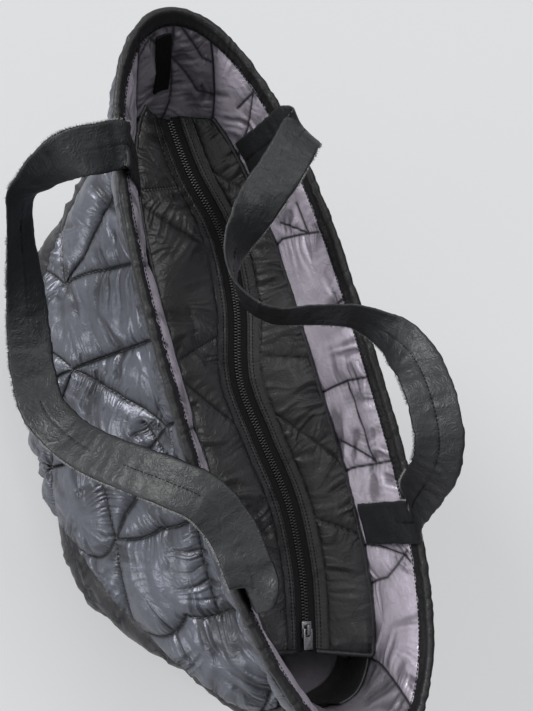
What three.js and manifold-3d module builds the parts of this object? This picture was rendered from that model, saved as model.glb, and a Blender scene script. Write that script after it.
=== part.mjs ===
// Quilted tote bag: padded walls that widen to a long open mouth, two zipped flaps inside the mouth,
// and two flat handles. Millimetres, +Z up. X runs along the mouth, the front faces -Y, and the
// origin is the middle of the base's underside.
import * as THREE from "three";
import { mergeVertices } from "three/addons/utils/BufferGeometryUtils.js";
import Module from "manifold-3d";

// Overall sizes
const height = 310; // floor to the top of the hem
const mouthLength = 594; // between the two tips of the hem
const mouthDepth = 177; // hem, front to back at the middle
const mouthLean = 31.5; // how far the mouth's middle lies behind the base's middle
const baseLength = 280;
const baseDepth = 190;

// Cloth and padding
const gap = 0.3; // clear space between neighbouring pieces
const shellSeam = 2.5; // outer padding on a quilting line
const shellLoft = 10; // what the padding adds between the lines
const liningSeam = 1.5;
const liningLoft = 4;
const pillowReach = 22; // distance from a quilting line at which most of the loft is reached
const baseThickness = 7;
const hemHeight = 14;
const hemGap = 0.8; // between the hem and the walls' upper edges
const hemThickness = 10;
const handleWidth = 35;
const handleThickness = 2.4;
const handleBow = { front: 0.05, back: 0.6 }; // room for the wall's curve behind the sewn ends
const tapeWidth = 24; // ribbed tape inside the far end
const trimThickness = 2;
const tapePlace = { t: 0.018, low: 0.81, high: 0.945 }; // t as in wall(), low and high shares of the height
const patchPlace = { t: 1.045, below: 29, lift: 0.5 }; // below: its middle under the flaps' outer edges
const patchWidth = 60; // plain patch inside the near end
const patchHeight = 48;

// Flaps and zip
const flapLevel = 240; // height of the flaps' outer edges
const zipLevel = 225; // the flaps slope down to the zip
const flapSeam = 2.4;
const flapLoft = 4;
const zipTapeShow = 9; // zip's middle to a flap's edge
const zipTapeThickness = 1.2;
const chainWidth = 6.2;
const chainHeight = 2.6;
const zipFar = -243; // the flaps' far ends
const zipNear = 228;
const flapNearFront = 215; // near ends of the flaps' outer edges
const flapNearBack = 253;
const flapFarFront = 0.05; // far ends of the outer edges, as shares of the outline's half
const flapFarBack = 0.09;
const sliderPlace = 211;

// Slider and pull, in the slider's own frame: x along the zip, z up from the chain's middle
const slider = { length: 13, width: 9, plate: 1.6, clear: 0.5, nose: 3.5, noseWidth: 4.2 };
const bridge = { length: 8.5, width: 3, leg: 1.5, window: 2.8, bar: 1.4 };
const pull = { length: 17, width: 8.4, thickness: 1.8, reach: 0.9, windowLength: 5.6, arm: 2.3 };

// Level outlines of the walls, base to hem. up: share of the height. far and near: the ends along X,
// from the base's half length (0) to the mouth's (1). lean: share of the mouth's lean. depth: front
// to back, as a share of the mouth's. The outline is y = depth / 2 * (1 - |x / a| ^ power) ^ round.
// side: half width of the side panels as a share of the base's depth.
const levels = [
  { up: 0.0, far: 0.0, near: 0.0, lean: 0.0, depth: 1.05, power: 5.5, round: 0.2, side: 0.86 },
  { up: 0.07, far: 0.03, near: 0.2, lean: -0.1, depth: 1.07, power: 5.5, round: 0.22, side: 0.94 },
  { up: 0.22, far: 0.18, near: 0.32, lean: -0.03, depth: 1.17, power: 4.35, round: 0.27, side: 0.97 },
  { up: 0.45, far: 0.41, near: 0.65, lean: 0.35, depth: 1.06, power: 3.75, round: 0.34, side: 0.55 },
  { up: 0.62, far: 0.6, near: 0.905, lean: 0.83, depth: 0.88, power: 3.7, round: 0.34, side: 0.32 },
  { up: 0.77, far: 0.78, near: 0.915, lean: 1.27, depth: 0.77, power: 3.2, round: 0.42, side: 0.27 },
  { up: 0.9, far: 0.9, near: 0.96, lean: 1.17, depth: 0.88, power: 3.0, round: 0.46, side: 0.22 },
  { up: 1.0, far: 1.0, near: 1.0, lean: 1.0, depth: 1.0, power: 2.8, round: 0.5, side: 0.18 },
];

// Quilting lines of the front panel, each a run of [share along, share of the height]
const panelQuilting = {
  long_far: [[0.32, 1], [0.2, 0.66], [0.13, 0.52], [0, 0.44]],
  long_left: [[0.42, 1], [0.33, 0.61], [0.3, 0.49], [0.21, 0.27], [0.14, 0]],
  long_middle: [[0.52, 0.98], [0.5, 0.72], [0.52, 0.63], [0.55, 0.27], [0.46, 0]],
  long_right: [[0.67, 1], [0.66, 0.73], [0.65, 0.62], [0.71, 0.47], [0.92, 0.32], [1, 0.26]],
  long_near: [[0.77, 1], [0.8, 0.86], [0.81, 0.61], [1, 0.43]],
  far_corner: [[0.13, 0.52], [0.14, 0.61], [0.1, 0.9]],
  far_foot: [[0.3, 0.49], [0.17, 0.4], [0, 0.24]],
  sweep: [[0.3, 0.49], [0.38, 0.58], [0.5, 0.72]],
  hook: [[0.3, 0.49], [0.35, 0.38], [0.51, 0.34]],
  band: [[0.54, 0.48], [0.71, 0.47], [1, 0.41]],
  wedge: [[0.71, 0.47], [0.58, 0.6], [0.52, 0.84]],
  foot: [[0.21, 0.27], [0.55, 0.27], [0.92, 0.2], [1, 0.1]],
  low_wedge: [[0.55, 0.27], [0.32, 0]],
  low_near: [[0.55, 0.27], [0.74, 0]],
  shoulder: [[0.66, 0.73], [0.82, 0.7], [1, 0.73]],
  near_rim: [[0.8, 0.86], [0.9, 0.9], [1, 0.86]],
};
const sideQuilting = {
  low: [[0, 0.2], [0.5, 0.26], [1, 0.2]],
  middle: [[0, 0.5], [0.5, 0.44], [1, 0.5]],
  upper: [[0, 0.74], [0.5, 0.68], [1, 0.74]],
  slant: [[0.5, 0.26], [0.2, 0.47]],
  slant_back: [[0.5, 0.26], [0.8, 0.47]],
};
const liningQuilting = {
  far: [[0.09, 1], [0.09, 0.78], [0.05, 0]],
  far_wedge: [[0.09, 0.94], [0.16, 0.78]],
  left: [[0.33, 1], [0.3, 0.91], [0.25, 0.78], [0.2, 0]],
  spur: [[0.3, 0.91], [0.22, 0.92]],
  middle: [[0.54, 1], [0.53, 0.78], [0.5, 0]],
  run: [[0.53, 0.88], [0.66, 0.9]],
  right: [[0.66, 1], [0.67, 0.78], [0.72, 0]],
  near: [[0.77, 1], [0.85, 0.82], [0.95, 0.5]],
  cross: [[0, 0.45], [1, 0.45]],
};
const frontFlapQuilting = {
  first: [[0.17, 0], [0.13, 1]],
  second: [[0.19, 0], [0.27, 1]],
  third: [[0.48, 0], [0.42, 1]],
  fourth: [[0.51, 0], [0.6, 1]],
  fifth: [[0.82, 0], [0.76, 1]],
};
const backFlapQuilting = {
  first: [[0.16, 0], [0.1, 1]],
  second: [[0.47, 0], [0.46, 1]],
  third: [[0.66, 0], [0.56, 1]],
  fourth: [[0.79, 0], [0.77, 1]],
};

// The zip's line. along: share of half the mouth's length. across: from the mouth's middle line, as
// a share of half its depth.
const zipLine = [
  { along: -0.85, across: 0.12 },
  { along: -0.65, across: 0.17 },
  { along: -0.45, across: 0.31 },
  { along: -0.23, across: 0.25 },
  { along: -0.02, across: 0.06 },
  { along: 0.15, across: 0.1 },
  { along: 0.36, across: 0.18 },
  { along: 0.55, across: 0.12 },
  { along: 0.7, across: -0.01 },
  { along: 0.79, across: -0.11 },
];

// Free stretches of the handles. along: share of half the mouth's length. out: Y as a share of half
// the mouth's depth. rise: share of the height. turn and tip: the strap's width direction in
// degrees, round Z from +X, and up from the level.
const frontRoute = [
  { along: -0.634, out: -0.44, rise: 1.027, turn: -12, tip: -10 },
  { along: -0.632, out: -0.57, rise: 1.034, turn: -8, tip: -16 },
  { along: -0.626, out: -0.712, rise: 1.039, turn: -6, tip: -23 },
  { along: -0.63, out: -0.85, rise: 1.024, turn: 0, tip: -34 },
  { along: -0.63, out: -0.983, rise: 0.974, turn: 22, tip: -54 },
  { along: -0.62, out: -1.119, rise: 0.903, turn: 51, tip: -71 },
  { along: -0.603, out: -1.22, rise: 0.832, turn: 85, tip: -63 },
  { along: -0.535, out: -1.254, rise: 0.748, turn: 97, tip: -45 },
  { along: -0.434, out: -1.277, rise: 0.69, turn: 90, tip: -25 },
  { along: -0.303, out: -1.34, rise: 0.658, turn: 84, tip: -6 },
  { along: -0.182, out: -1.405, rise: 0.652, turn: 82, tip: 6 },
  { along: -0.094, out: -1.415, rise: 0.665, turn: 88, tip: 10 },
  { along: -0.017, out: -1.34, rise: 0.71, turn: 109, tip: 12 },
  { along: 0.061, out: -1.22, rise: 0.815, turn: 127, tip: 11 },
  { along: 0.125, out: -1.04, rise: 0.916, turn: 134, tip: 10 },
  { along: 0.185, out: -0.84, rise: 0.995, turn: 134, tip: 11 },
  { along: 0.242, out: -0.66, rise: 1.037, turn: 124, tip: 14 },
  { along: 0.31, out: -0.55, rise: 1.045, turn: 99, tip: 20 },
  { along: 0.36, out: -0.51, rise: 1.05, turn: 80, tip: 22 },
  { along: 0.422, out: -0.5, rise: 1.057, turn: 56, tip: 18 },
  { along: 0.478, out: -0.49, rise: 1.052, turn: 24, tip: 6 },
];
const backRoute = [
  { along: -0.599, out: 1.164, rise: 1.071, turn: 33, tip: 3 },
  { along: -0.569, out: 1.04, rise: 1.09, turn: 40, tip: 8 },
  { along: -0.495, out: 0.78, rise: 1.09, turn: 51, tip: 14 },
  { along: -0.448, out: 0.6, rise: 1.077, turn: 54, tip: 10 },
  { along: -0.394, out: 0.418, rise: 1.058, turn: 71, tip: -9 },
  { along: -0.34, out: 0.26, rise: 1.039, turn: 81, tip: -30 },
  { along: -0.29, out: 0.18, rise: 1.026, turn: 90, tip: -50 },
  { along: -0.235, out: 0.17, rise: 1.019, turn: 92, tip: -66 },
  { along: -0.18, out: 0.24, rise: 1.026, turn: 72, tip: -74 },
  { along: -0.138, out: 0.384, rise: 1.045, turn: 52, tip: -73 },
  { along: -0.108, out: 0.757, rise: 1.071, turn: 43, tip: -65 },
  { along: -0.077, out: 1.03, rise: 1.103, turn: 28, tip: -68 },
  { along: -0.015, out: 1.19, rise: 1.148, turn: -30, tip: -70 },
  { along: 0.055, out: 1.21, rise: 1.206, turn: -95, tip: -52 },
  { along: 0.152, out: 1.13, rise: 1.262, turn: -117, tip: -36 },
  { along: 0.268, out: 1.085, rise: 1.262, turn: -124, tip: -35 },
  { along: 0.335, out: 1.085, rise: 1.213, turn: -141, tip: -30 },
  { along: 0.382, out: 1.09, rise: 1.142, turn: -158, tip: -24 },
  { along: 0.428, out: 1.12, rise: 1.068, turn: -176, tip: -13 },
];
// Where the handles' sewn ends lie, as shares of half the mouth's length, and how far up they run
const sewn = { far: -0.635, near: 0.485, ups: [0.8, 0.86, 0.92, 0.96, 1] };
const overRim = 4; // how far above the hem a handle leaves its sewn end

// Fineness of the faceted cloth
const panelGrid = { columns: 22, rows: 11 };
const sideGrid = { columns: 8, rows: 11 };
const flapGrid = { columns: 22, rows: 5 };
const hemSteps = 64;
const baseSteps = 44;
const stepsPerRow = 2;
const outlineSteps = 70;
const snapReach = 0.34; // how far a grid point is drawn to a quilting line, in grid cells

const mix = (a, b, share) => a + (b - a) * share;
const shares = (steps) => Array.from({ length: steps + 1 }, (_, i) => i / steps);

// Smooth value of one column of a table at a place between its rows
function smooth(rows, key, column, at) {
  const last = rows.length - 2;
  let i = rows.findIndex((row) => row[key] > at) - 1;
  if (i < 0) i = at <= rows[0][key] ? 0 : last;
  const slope = (k) => {
    const before = rows[Math.max(k - 1, 0)];
    const after = rows[Math.min(k + 1, last + 1)];
    return (after[column] - before[column]) / (after[key] - before[key]);
  };
  const span = rows[i + 1][key] - rows[i][key];
  const t = (at - rows[i][key]) / span;
  const a = rows[i][column];
  const b = rows[i + 1][column];
  const curved = (2 * t ** 3 - 3 * t ** 2 + 1) * a + (t ** 3 - 2 * t ** 2 + t) * slope(i) * span;
  return curved + (3 * t ** 2 - 2 * t ** 3) * b + (t ** 3 - t ** 2) * slope(i + 1) * span;
}

// Half outline of one level, from the far tip to the near tip, with its running length
const outlines = new Map();
function outline(up) {
  const key = up.toFixed(5);
  if (outlines.has(key)) return outlines.get(key);
  const at = (column) => smooth(levels, "up", column, up);
  const farEnd = -mix(baseLength / 2, mouthLength / 2, at("far"));
  const nearEnd = mix(baseLength / 2, mouthLength / 2, at("near"));
  const middle = (farEnd + nearEnd) / 2;
  const a = (nearEnd - farEnd) / 2;
  const d = (at("depth") * mouthDepth) / 2;
  const [power, round] = [at("power"), at("round")];
  const turn = 0.75; // share of the depth at which the quarter passes from its end to its side
  const quarter = [];
  for (const s of shares(outlineSteps)) {
    quarter.push([a * (1 - (s * turn) ** (1 / round)) ** (1 / power), d * s * turn]);
  }
  const shoulder = quarter[outlineSteps][0];
  for (const s of shares(outlineSteps).slice(1)) {
    const x = shoulder * (1 - s);
    quarter.push([x, d * (1 - (x / a) ** power) ** round]);
  }
  const half = quarter.map(([x, y]) => [middle - x, y]);
  half.push(...quarter.slice(0, -1).reverse().map(([x, y]) => [middle + x, y]));
  const run = [0];
  for (let i = 1; i < half.length; i++) {
    run.push(run[i - 1] + Math.hypot(half[i][0] - half[i - 1][0], half[i][1] - half[i - 1][1]));
  }
  const lean = at("lean") * mouthLean;
  const side = at("side") * baseDepth;
  outlines.set(key, { half, run, length: run.at(-1), lean, side });
  return outlines.get(key);
}

// Point of the wall's middle surface. t: 0 far tip, 0.5 front, 1 near tip, 1.5 back, 2 far tip again.
function wall(t, up) {
  const { half, run, length, lean } = outline(up);
  const turned = ((t % 2) + 2) % 2;
  const want = (turned <= 1 ? turned : 2 - turned) * length;
  let [low, high] = [0, run.length - 1];
  while (high - low > 1) {
    const mid = (low + high) >> 1;
    if (run[mid] > want) high = mid;
    else low = mid;
  }
  const share = (want - run[low]) / (run[high] - run[low]);
  const y = mix(half[low][1], half[high][1], share) * (turned <= 1 ? -1 : 1);
  return new THREE.Vector3(mix(half[low][0], half[high][0], share), y + lean, up * height);
}

// Directions of the wall: along a level, up a run of points that rises at atT(up), and outwards
const stepAlong = 0.006;
const stepUp = 0.01;
const along = (t, up) => wall(t + stepAlong, up).sub(wall(t - stepAlong, up)).normalize();
function rising(atT, up) {
  const [above, below] = [Math.min(up + stepUp, 1), Math.max(up - stepUp, 0)];
  return wall(atT(above), above).sub(wall(atT(below), below)).normalize();
}
const outward = (t, up) => along(t, up).cross(rising(() => t, up)).normalize();
const outwardLevel = (t, up) => outward(t, up).setZ(0).normalize();
// The wall's point moved outwards
const place = (t, up, out) => wall(t, up).addScaledVector(outward(t, up), out);

// Share t of the front (side -1) or back (side 1) at which the outline has this x
function shareAt(x, up, side) {
  let [low, high] = [0, 1];
  for (let i = 0; i < 30; i++) {
    const mid = (low + high) / 2;
    if (wall(mid, up).x < x) low = mid;
    else high = mid;
  }
  return side < 0 ? low : 2 - low;
}

// Closed body between two grids of points that face the same way
function slab(top, bottom) {
  const rows = top.length;
  const columns = top[0].length;
  const points = [...top.flat(), ...bottom.flat()];
  const index = [];
  const offset = rows * columns;
  const quad = (a, b, c, d) => index.push(a, b, c, a, c, d);
  for (let r = 0; r < rows - 1; r++) {
    for (let c = 0; c < columns - 1; c++) {
      const a = r * columns + c;
      quad(a, a + 1, a + columns + 1, a + columns);
      quad(a + offset, a + offset + columns, a + offset + columns + 1, a + offset + 1);
    }
  }
  const border = [];
  for (let c = 0; c < columns - 1; c++) border.push(c);
  for (let r = 0; r < rows - 1; r++) border.push(r * columns + columns - 1);
  for (let c = columns - 1; c > 0; c--) border.push((rows - 1) * columns + c);
  for (let r = rows - 1; r > 0; r--) border.push(r * columns);
  border.forEach((a, i) => {
    const b = border[(i + 1) % border.length];
    if (b > a) quad(b, a, a + offset, b + offset);
    else quad(a, a + offset, b + offset, b);
  });
  return meshData(points, index);
}

// Closed body through rings of points: round a loop, or with flat caps
function loft(rings, looped) {
  const size = rings[0].length;
  const points = rings.flat();
  const index = [];
  const last = looped ? rings.length : rings.length - 1;
  for (let i = 0; i < last; i++) {
    const [here, next] = [i * size, ((i + 1) % rings.length) * size];
    for (let j = 0; j < size; j++) {
      const k = (j + 1) % size;
      index.push(here + j, next + j, next + k, here + j, next + k, here + k);
    }
  }
  if (!looped) {
    for (const [start, flip] of [[0, false], [(rings.length - 1) * size, true]]) {
      const centre = new THREE.Vector3();
      for (let j = 0; j < size; j++) centre.addScaledVector(points[start + j], 1 / size);
      points.push(centre);
      for (let j = 0; j < size; j++) {
        const [a, b] = [start + j, start + ((j + 1) % size)];
        index.push(points.length - 1, flip ? b : a, flip ? a : b);
      }
    }
  }
  return meshData(points, index);
}

// Geometry with its faces turned outwards
function meshData(points, index) {
  let volume = 0;
  for (let i = 0; i < index.length; i += 3) {
    const [a, b, c] = [points[index[i]], points[index[i + 1]], points[index[i + 2]]];
    volume += a.dot(b.clone().cross(c));
  }
  if (volume < 0) index.reverse();
  const geometry = new THREE.BufferGeometry().setFromPoints(points);
  geometry.setIndex(index);
  geometry.computeVertexNormals();
  return geometry;
}

// Nearest point to another on a straight piece of a line
const footOn = (start, end, point) =>
  new THREE.Line3(start, end).closestPointToPoint(point, true, new THREE.Vector3());

// Share of the loft at a point: none on a quilting line, nearly all well inside a pillow
function plump(point, lines) {
  let nearest = Infinity;
  for (const line of lines) {
    for (let i = 0; i < line.length - 1; i++) {
      nearest = Math.min(nearest, footOn(line[i], line[i + 1], point).distanceTo(point));
    }
  }
  return 1 - Math.exp(-nearest / pillowReach);
}

// Even grid of shares whose inner points are drawn onto the quilting lines that pass close by
function quiltedGrid(grid, quilting) {
  const size = new THREE.Vector2(grid.columns, grid.rows);
  const lines = Object.values(quilting).map((run) => run.map(([share, up]) => {
    const row = (up - bottomUp) / (topUp - bottomUp);
    return new THREE.Vector3(share * size.x, row * size.y, 0);
  }));
  return shares(grid.rows).map((row) => shares(grid.columns).map((share) => {
    const here = new THREE.Vector3(share * size.x, row * size.y, 0);
    let [nearest, snapped] = [snapReach, here];
    for (const line of lines) {
      for (let i = 0; i < line.length - 1; i++) {
        const foot = footOn(line[i], line[i + 1], here);
        if (foot.distanceTo(here) < nearest) [nearest, snapped] = [foot.distanceTo(here), foot];
      }
    }
    const border = share === 0 || share === 1 || row === 0 || row === 1;
    const free = { share: snapped.x / size.x, row: snapped.y / size.y, border };
    return border ? { share, row, border } : free;
  }));
}

const bottomUp = (baseThickness + gap) / height;
const topUp = 1 - (hemHeight + hemGap) / height;

// Quilted piece of the wall. from and to give its two side edges at each level, inner and outer its
// offsets on a quilting line, and padding what the loft adds to one of the two faces. The lining and
// the outer padding follow the same quilting with their grids, so that they lie face to face.
function quiltedWall({ from, to, grid, quilting, follow = quilting, inner, outer, innerLoft, outerLoft }) {
  const tAt = (share, up) => mix(from(up), to(up), share);
  const edgeSide = (share, up) => rising((level) => tAt(share, level), up).cross(outward(tAt(share, up), up));
  const onWall = (run) => run.map(([share, up]) => wall(tAt(share, up), Math.min(up, topUp)));
  const edges = [0, 1].map((share) => onWall(shares(grid.rows).map((up) => [share, up])));
  const rims = [bottomUp, topUp].map((up) => onWall(shares(grid.columns).map((share) => [share, up])));
  const lines = [...Object.values(quilting).map(onWall), ...edges, ...rims];
  const stations = quiltedGrid(grid, follow);
  const face = (offset, added) => stations.map((line) => line.map(({ share, row, border }) => {
    const up = mix(bottomUp, topUp, row);
    const t = tAt(share, up);
    const puffed = offset + (border ? 0 : added * plump(wall(t, up), lines));
    const away = row === 0 ? outwardLevel(t, up) : outward(t, up);
    const point = wall(t, up).addScaledVector(away, puffed);
    if (share > 0 && share < 1) return point;
    return point.addScaledVector(edgeSide(share, up).normalize(), (0.5 - share) * gap);
  }));
  return slab(face(outer, outerLoft), face(inner, innerLoft));
}

const sideShare = (up) => outline(up).side / outline(up).length;
const mirrored = (quilting) => Object.fromEntries(
  Object.entries(quilting).map(([name, run]) => [name, run.map(([s, up]) => [1 - s, up])]));

const shellOffsets = { inner: gap / 2, outer: gap / 2 + shellSeam, innerLoft: 0, outerLoft: shellLoft };
const liningOffsets = { inner: -gap / 2 - liningSeam, outer: -gap / 2, innerLoft: -liningLoft, outerLoft: 0 };
const front = { from: sideShare, to: (up) => 1 - sideShare(up) };
const back = { from: (up) => 1 + sideShare(up), to: (up) => 2 - sideShare(up) };
const far = { from: (up) => -sideShare(up), to: sideShare };
const near = { from: (up) => 1 - sideShare(up), to: (up) => 1 + sideShare(up) };

// Depth of the lining's pillows below the wall's middle surface, where trims and straps lie
const liningFace = gap / 2 + liningSeam + liningLoft + gap;

function rimBinding() {
  const start = 1 - hemHeight / height;
  const half = hemThickness / 2;
  const corner = hemThickness / 4;
  const under = 1 - corner / height;
  const outside = [[start, half], [under, half], [1, half - corner]];
  const inside = outside.map(([up, out]) => [up, -out]).reverse();
  const ring = (t) => [...outside, ...inside].map(([up, out]) => place(t, up, out));
  const rings = shares(hemSteps).slice(0, -1).map((s) => ring(2 * s));
  return loft(rings, true);
}

function basePanel() {
  const section = [[8, 0], [1, 0.22], [0, 0.5], [0.8, 0.86], [3, 1]];
  const rings = section.map(([inset, share]) =>
    shares(baseSteps).slice(0, -1).map((s) => {
      const edge = wall(2 * s, bottomUp).addScaledVector(outwardLevel(2 * s, bottomUp), shellSeam - inset);
      return edge.setZ(share * baseThickness);
    }));
  return loft(rings, false);
}

// Flat trim on the lining, from one level to another. lift: room for the bend of a narrow end
function trim(middle, width, lowUp, highUp, lift = 0) {
  const face = (out) => shares(4).map((row) => {
    const up = mix(lowUp, highUp, row);
    const half = width / 2 / outline(up).length;
    return shares(4).map((share) => place(middle + mix(-half, half, share), up, out));
  });
  const foot = -liningFace - lift;
  return slab(face(foot), face(foot - trimThickness));
}

// The zip's middle at a place along X, and its sideways direction
function zipPoint(x) {
  const across = smooth(zipLine, "along", "across", x / (mouthLength / 2));
  return new THREE.Vector3(x, mouthLean + (across * mouthDepth) / 2, zipLevel);
}
function zipSide(x) {
  const ahead = zipPoint(x + 1).sub(zipPoint(x - 1)).normalize();
  return new THREE.Vector3(-ahead.y, ahead.x, 0);
}
function beside(x, across, rise) {
  const point = zipPoint(x).addScaledVector(zipSide(x), across);
  return point.setZ(point.z + rise);
}

function flap(side) {
  const up = flapLevel / height;
  const nearT = shareAt(side < 0 ? flapNearFront : flapNearBack, up, side);
  const farT = side < 0 ? flapFarFront : 2 - flapFarBack;
  const [startT, endT] = side < 0 ? [farT, nearT] : [nearT, farT];
  const [startX, endX] = side < 0 ? [zipFar, zipNear] : [zipNear, zipFar];
  const point = (share, row) => {
    const edge = place(mix(startT, endT, share), up, -liningFace - gap);
    return edge.lerp(beside(mix(startX, endX, share), side * zipTapeShow, 0), row);
  };
  const quilting = side < 0 ? frontFlapQuilting : mirrored(backFlapQuilting);
  const lines = Object.values(quilting).map((run) => run.map(([share, row]) => point(share, row)));
  for (const share of [0, 1]) lines.push([point(share, 0), point(share, 1)]);
  for (const row of [0, 1]) lines.push(shares(flapGrid.columns).map((share) => point(share, row)));
  const face = (seam, added) => shares(flapGrid.rows).map((row) =>
    shares(flapGrid.columns).map((share) => {
      const here = point(share, row);
      here.z += seam + added * plump(here, lines);
      return here;
    }));
  return slab(face(flapSeam / 2, flapLoft), face(-flapSeam / 2, -flapLoft / 2));
}

// Strip that follows the zip, with the flaps' stations, up to a last place along X
function zipStrip(fromAcross, toAcross, thickness, lastX) {
  const stations = shares(flapGrid.columns).map((share) => mix(zipFar, zipNear, share));
  const used = stations.filter((x) => x < lastX - 1);
  const half = thickness / 2;
  const rings = [...used, lastX].map((x) =>
    [[fromAcross, -half], [toAcross, -half], [toAcross, half], [fromAcross, half]]
      .map(([across, rise]) => beside(x, across, rise)));
  return loft(rings, false);
}

// Strap through its route: rows with a place and a width direction
function strap(rows) {
  const curve = new THREE.CatmullRomCurve3(rows.map((row) => row.at), false, "centripetal");
  const count = (rows.length - 1) * stepsPerRow;
  const rings = shares(count).map((s) => {
    const at = curve.getPoint(s);
    const ahead = curve.getTangent(s);
    const i = Math.min(Math.floor(s * (rows.length - 1)), rows.length - 2);
    const width = rows[i].width.clone().lerp(rows[i + 1].width, s * (rows.length - 1) - i);
    width.addScaledVector(ahead, -width.dot(ahead)).normalize();
    const thick = ahead.clone().cross(width);
    const corners = [[1, 1], [-1, 1], [-1, -1], [1, -1]];
    return corners.map(([w, n]) => at.clone()
      .addScaledVector(width, (w * handleWidth) / 2)
      .addScaledVector(thick, (n * handleThickness) / 2));
  });
  return loft(rings, false);
}

function handle(route, side) {
  const direction = (turn, tip) => new THREE.Vector3(Math.cos(tip) * Math.cos(turn),
    Math.cos(tip) * Math.sin(turn), Math.sin(tip));
  const bow = side < 0 ? handleBow.front : handleBow.back;
  const inset = -liningFace - bow - handleThickness / 2;
  const sewnEnd = (share, sense) => sewn.ups.map((up) => {
    const t = shareAt((share * mouthLength) / 2, up, side);
    const lifted = new THREE.Vector3(0, 0, up === 1 ? overRim : 0);
    return { at: place(t, up, inset).add(lifted), width: along(t, up).multiplyScalar(sense) };
  });
  const free = route.map((row) => ({
    at: new THREE.Vector3((row.along * mouthLength) / 2, (row.out * mouthDepth) / 2, row.rise * height),
    width: direction(THREE.MathUtils.degToRad(row.turn), THREE.MathUtils.degToRad(row.tip)),
  }));
  const nearEnd = sewnEnd(sewn.near, 1).reverse();
  return strap([...sewnEnd(sewn.far, -side), ...free, ...nearEnd]);
}

// Boolean helpers for the slider and its pull
const wasm = await Module();
wasm.setup();

function block(x0, x1, y0, y1, z0, z1) {
  const geometry = new THREE.BoxGeometry(x1 - x0, y1 - y0, z1 - z0);
  geometry.translate((x0 + x1) / 2, (y0 + y1) / 2, (z0 + z1) / 2);
  geometry.deleteAttribute("normal");
  geometry.deleteAttribute("uv");
  const merged = mergeVertices(geometry);
  return new wasm.Manifold(new wasm.Mesh({
    numProp: 3,
    vertProperties: new Float32Array(merged.attributes.position.array),
    triVerts: new Uint32Array(merged.index.array),
  }));
}

function geometryOf(solid) {
  const mesh = solid.getMesh();
  const geometry = new THREE.BufferGeometry();
  geometry.setAttribute("position", new THREE.BufferAttribute(new Float32Array(mesh.vertProperties), 3));
  geometry.setIndex(Array.from(mesh.triVerts));
  geometry.computeVertexNormals();
  return geometry;
}

const plateLow = chainHeight / 2 + slider.clear;
const plateHigh = plateLow + slider.plate;
const hingeHeight = plateHigh + bridge.window / 2;

function zipSlider() {
  const halfLength = slider.length / 2;
  const halfWidth = slider.width / 2;
  const halfBridge = bridge.length / 2;
  const top = plateHigh + bridge.window;
  const plates = block(-halfLength, halfLength, -halfWidth, halfWidth, -plateHigh, plateHigh);
  const channel = block(-halfLength - 1, halfLength + 1, -halfWidth - 1, halfWidth + 1, -plateLow, plateLow);
  const halfNose = slider.noseWidth / 2;
  const nose = block(halfLength - slider.nose, halfLength, -halfNose, halfNose, -plateHigh, plateHigh);
  const arch = block(-halfBridge, halfBridge, -bridge.width / 2, bridge.width / 2, 0, top + bridge.bar);
  const inside = halfBridge - bridge.leg;
  const opening = block(-inside, inside, -bridge.width, bridge.width, plateHigh, top);
  const belowPlate = block(-halfBridge, halfBridge, -bridge.width, bridge.width, 0, plateLow);
  return geometryOf(plates.subtract(channel).add(nose).add(arch.subtract(opening).subtract(belowPlate)));
}

// The pull's own frame has its turning line at the origin
function zipPull() {
  const halfThick = pull.thickness / 2;
  const halfWidth = pull.width / 2;
  const inside = halfWidth - pull.arm;
  const plate = block(-pull.reach, pull.length - pull.reach, -halfWidth, halfWidth, -halfThick, halfThick);
  const window = block(halfThick, pull.windowLength, -inside, inside, -pull.thickness, pull.thickness);
  return geometryOf(plate.subtract(window));
}

const outerCloth = { color: 0x5a5f6c, roughness: 0.45, metalness: 0 };
const darkCloth = { color: 0x35363a, roughness: 0.55, metalness: 0 };
const liningCloth = { color: 0x7d7783, roughness: 0.5, metalness: 0 };
const webbing = { color: 0x3a3b3e, roughness: 0.6, metalness: 0 };
const blackTrim = { color: 0x121214, roughness: 0.6, metalness: 0 };
const darkMetal = { color: 0x2a2b2e, roughness: 0.3, metalness: 0.8 };

const bag = new THREE.Group();
function add(name, geometry, finish, parent = bag) {
  const mesh = new THREE.Mesh(geometry, new THREE.MeshStandardMaterial(finish));
  mesh.name = name;
  parent.add(mesh);
  return mesh;
}

const panel = { grid: panelGrid, ...shellOffsets };
const sidePanel = { grid: sideGrid, quilting: sideQuilting, ...shellOffsets };
add("front_panel", quiltedWall({ ...front, ...panel, quilting: panelQuilting }), outerCloth);
add("back_panel", quiltedWall({ ...back, ...panel, quilting: mirrored(panelQuilting) }), outerCloth);
add("side_panel_far", quiltedWall({ ...far, ...sidePanel }), darkCloth);
add("side_panel_near", quiltedWall({ ...near, ...sidePanel }), darkCloth);
add("base_panel", basePanel(), darkCloth);

const lining = { grid: panelGrid, ...liningOffsets };
const endLining = { grid: sideGrid, quilting: sideQuilting, ...liningOffsets };
const [frontLining, backLining] = [liningQuilting, mirrored(liningQuilting)];
const frontMeet = { quilting: frontLining, follow: panelQuilting };
const backMeet = { quilting: backLining, follow: mirrored(panelQuilting) };
add("lining_front", quiltedWall({ ...front, ...lining, ...frontMeet }), liningCloth);
add("lining_back", quiltedWall({ ...back, ...lining, ...backMeet }), liningCloth);
add("lining_far", quiltedWall({ ...far, ...endLining }), liningCloth);
add("lining_near", quiltedWall({ ...near, ...endLining }), liningCloth);
add("rim_binding", rimBinding(), darkCloth);
add("far_tape", trim(tapePlace.t, tapeWidth, tapePlace.low, tapePlace.high), blackTrim);
const patchMiddle = flapLevel - patchPlace.below;
const [patchLow, patchHigh] = [-0.5, 0.5].map((share) => (patchMiddle + share * patchHeight) / height);
const patch = trim(patchPlace.t, patchWidth, patchLow, patchHigh, patchPlace.lift);
add("near_patch", patch, blackTrim);

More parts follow.
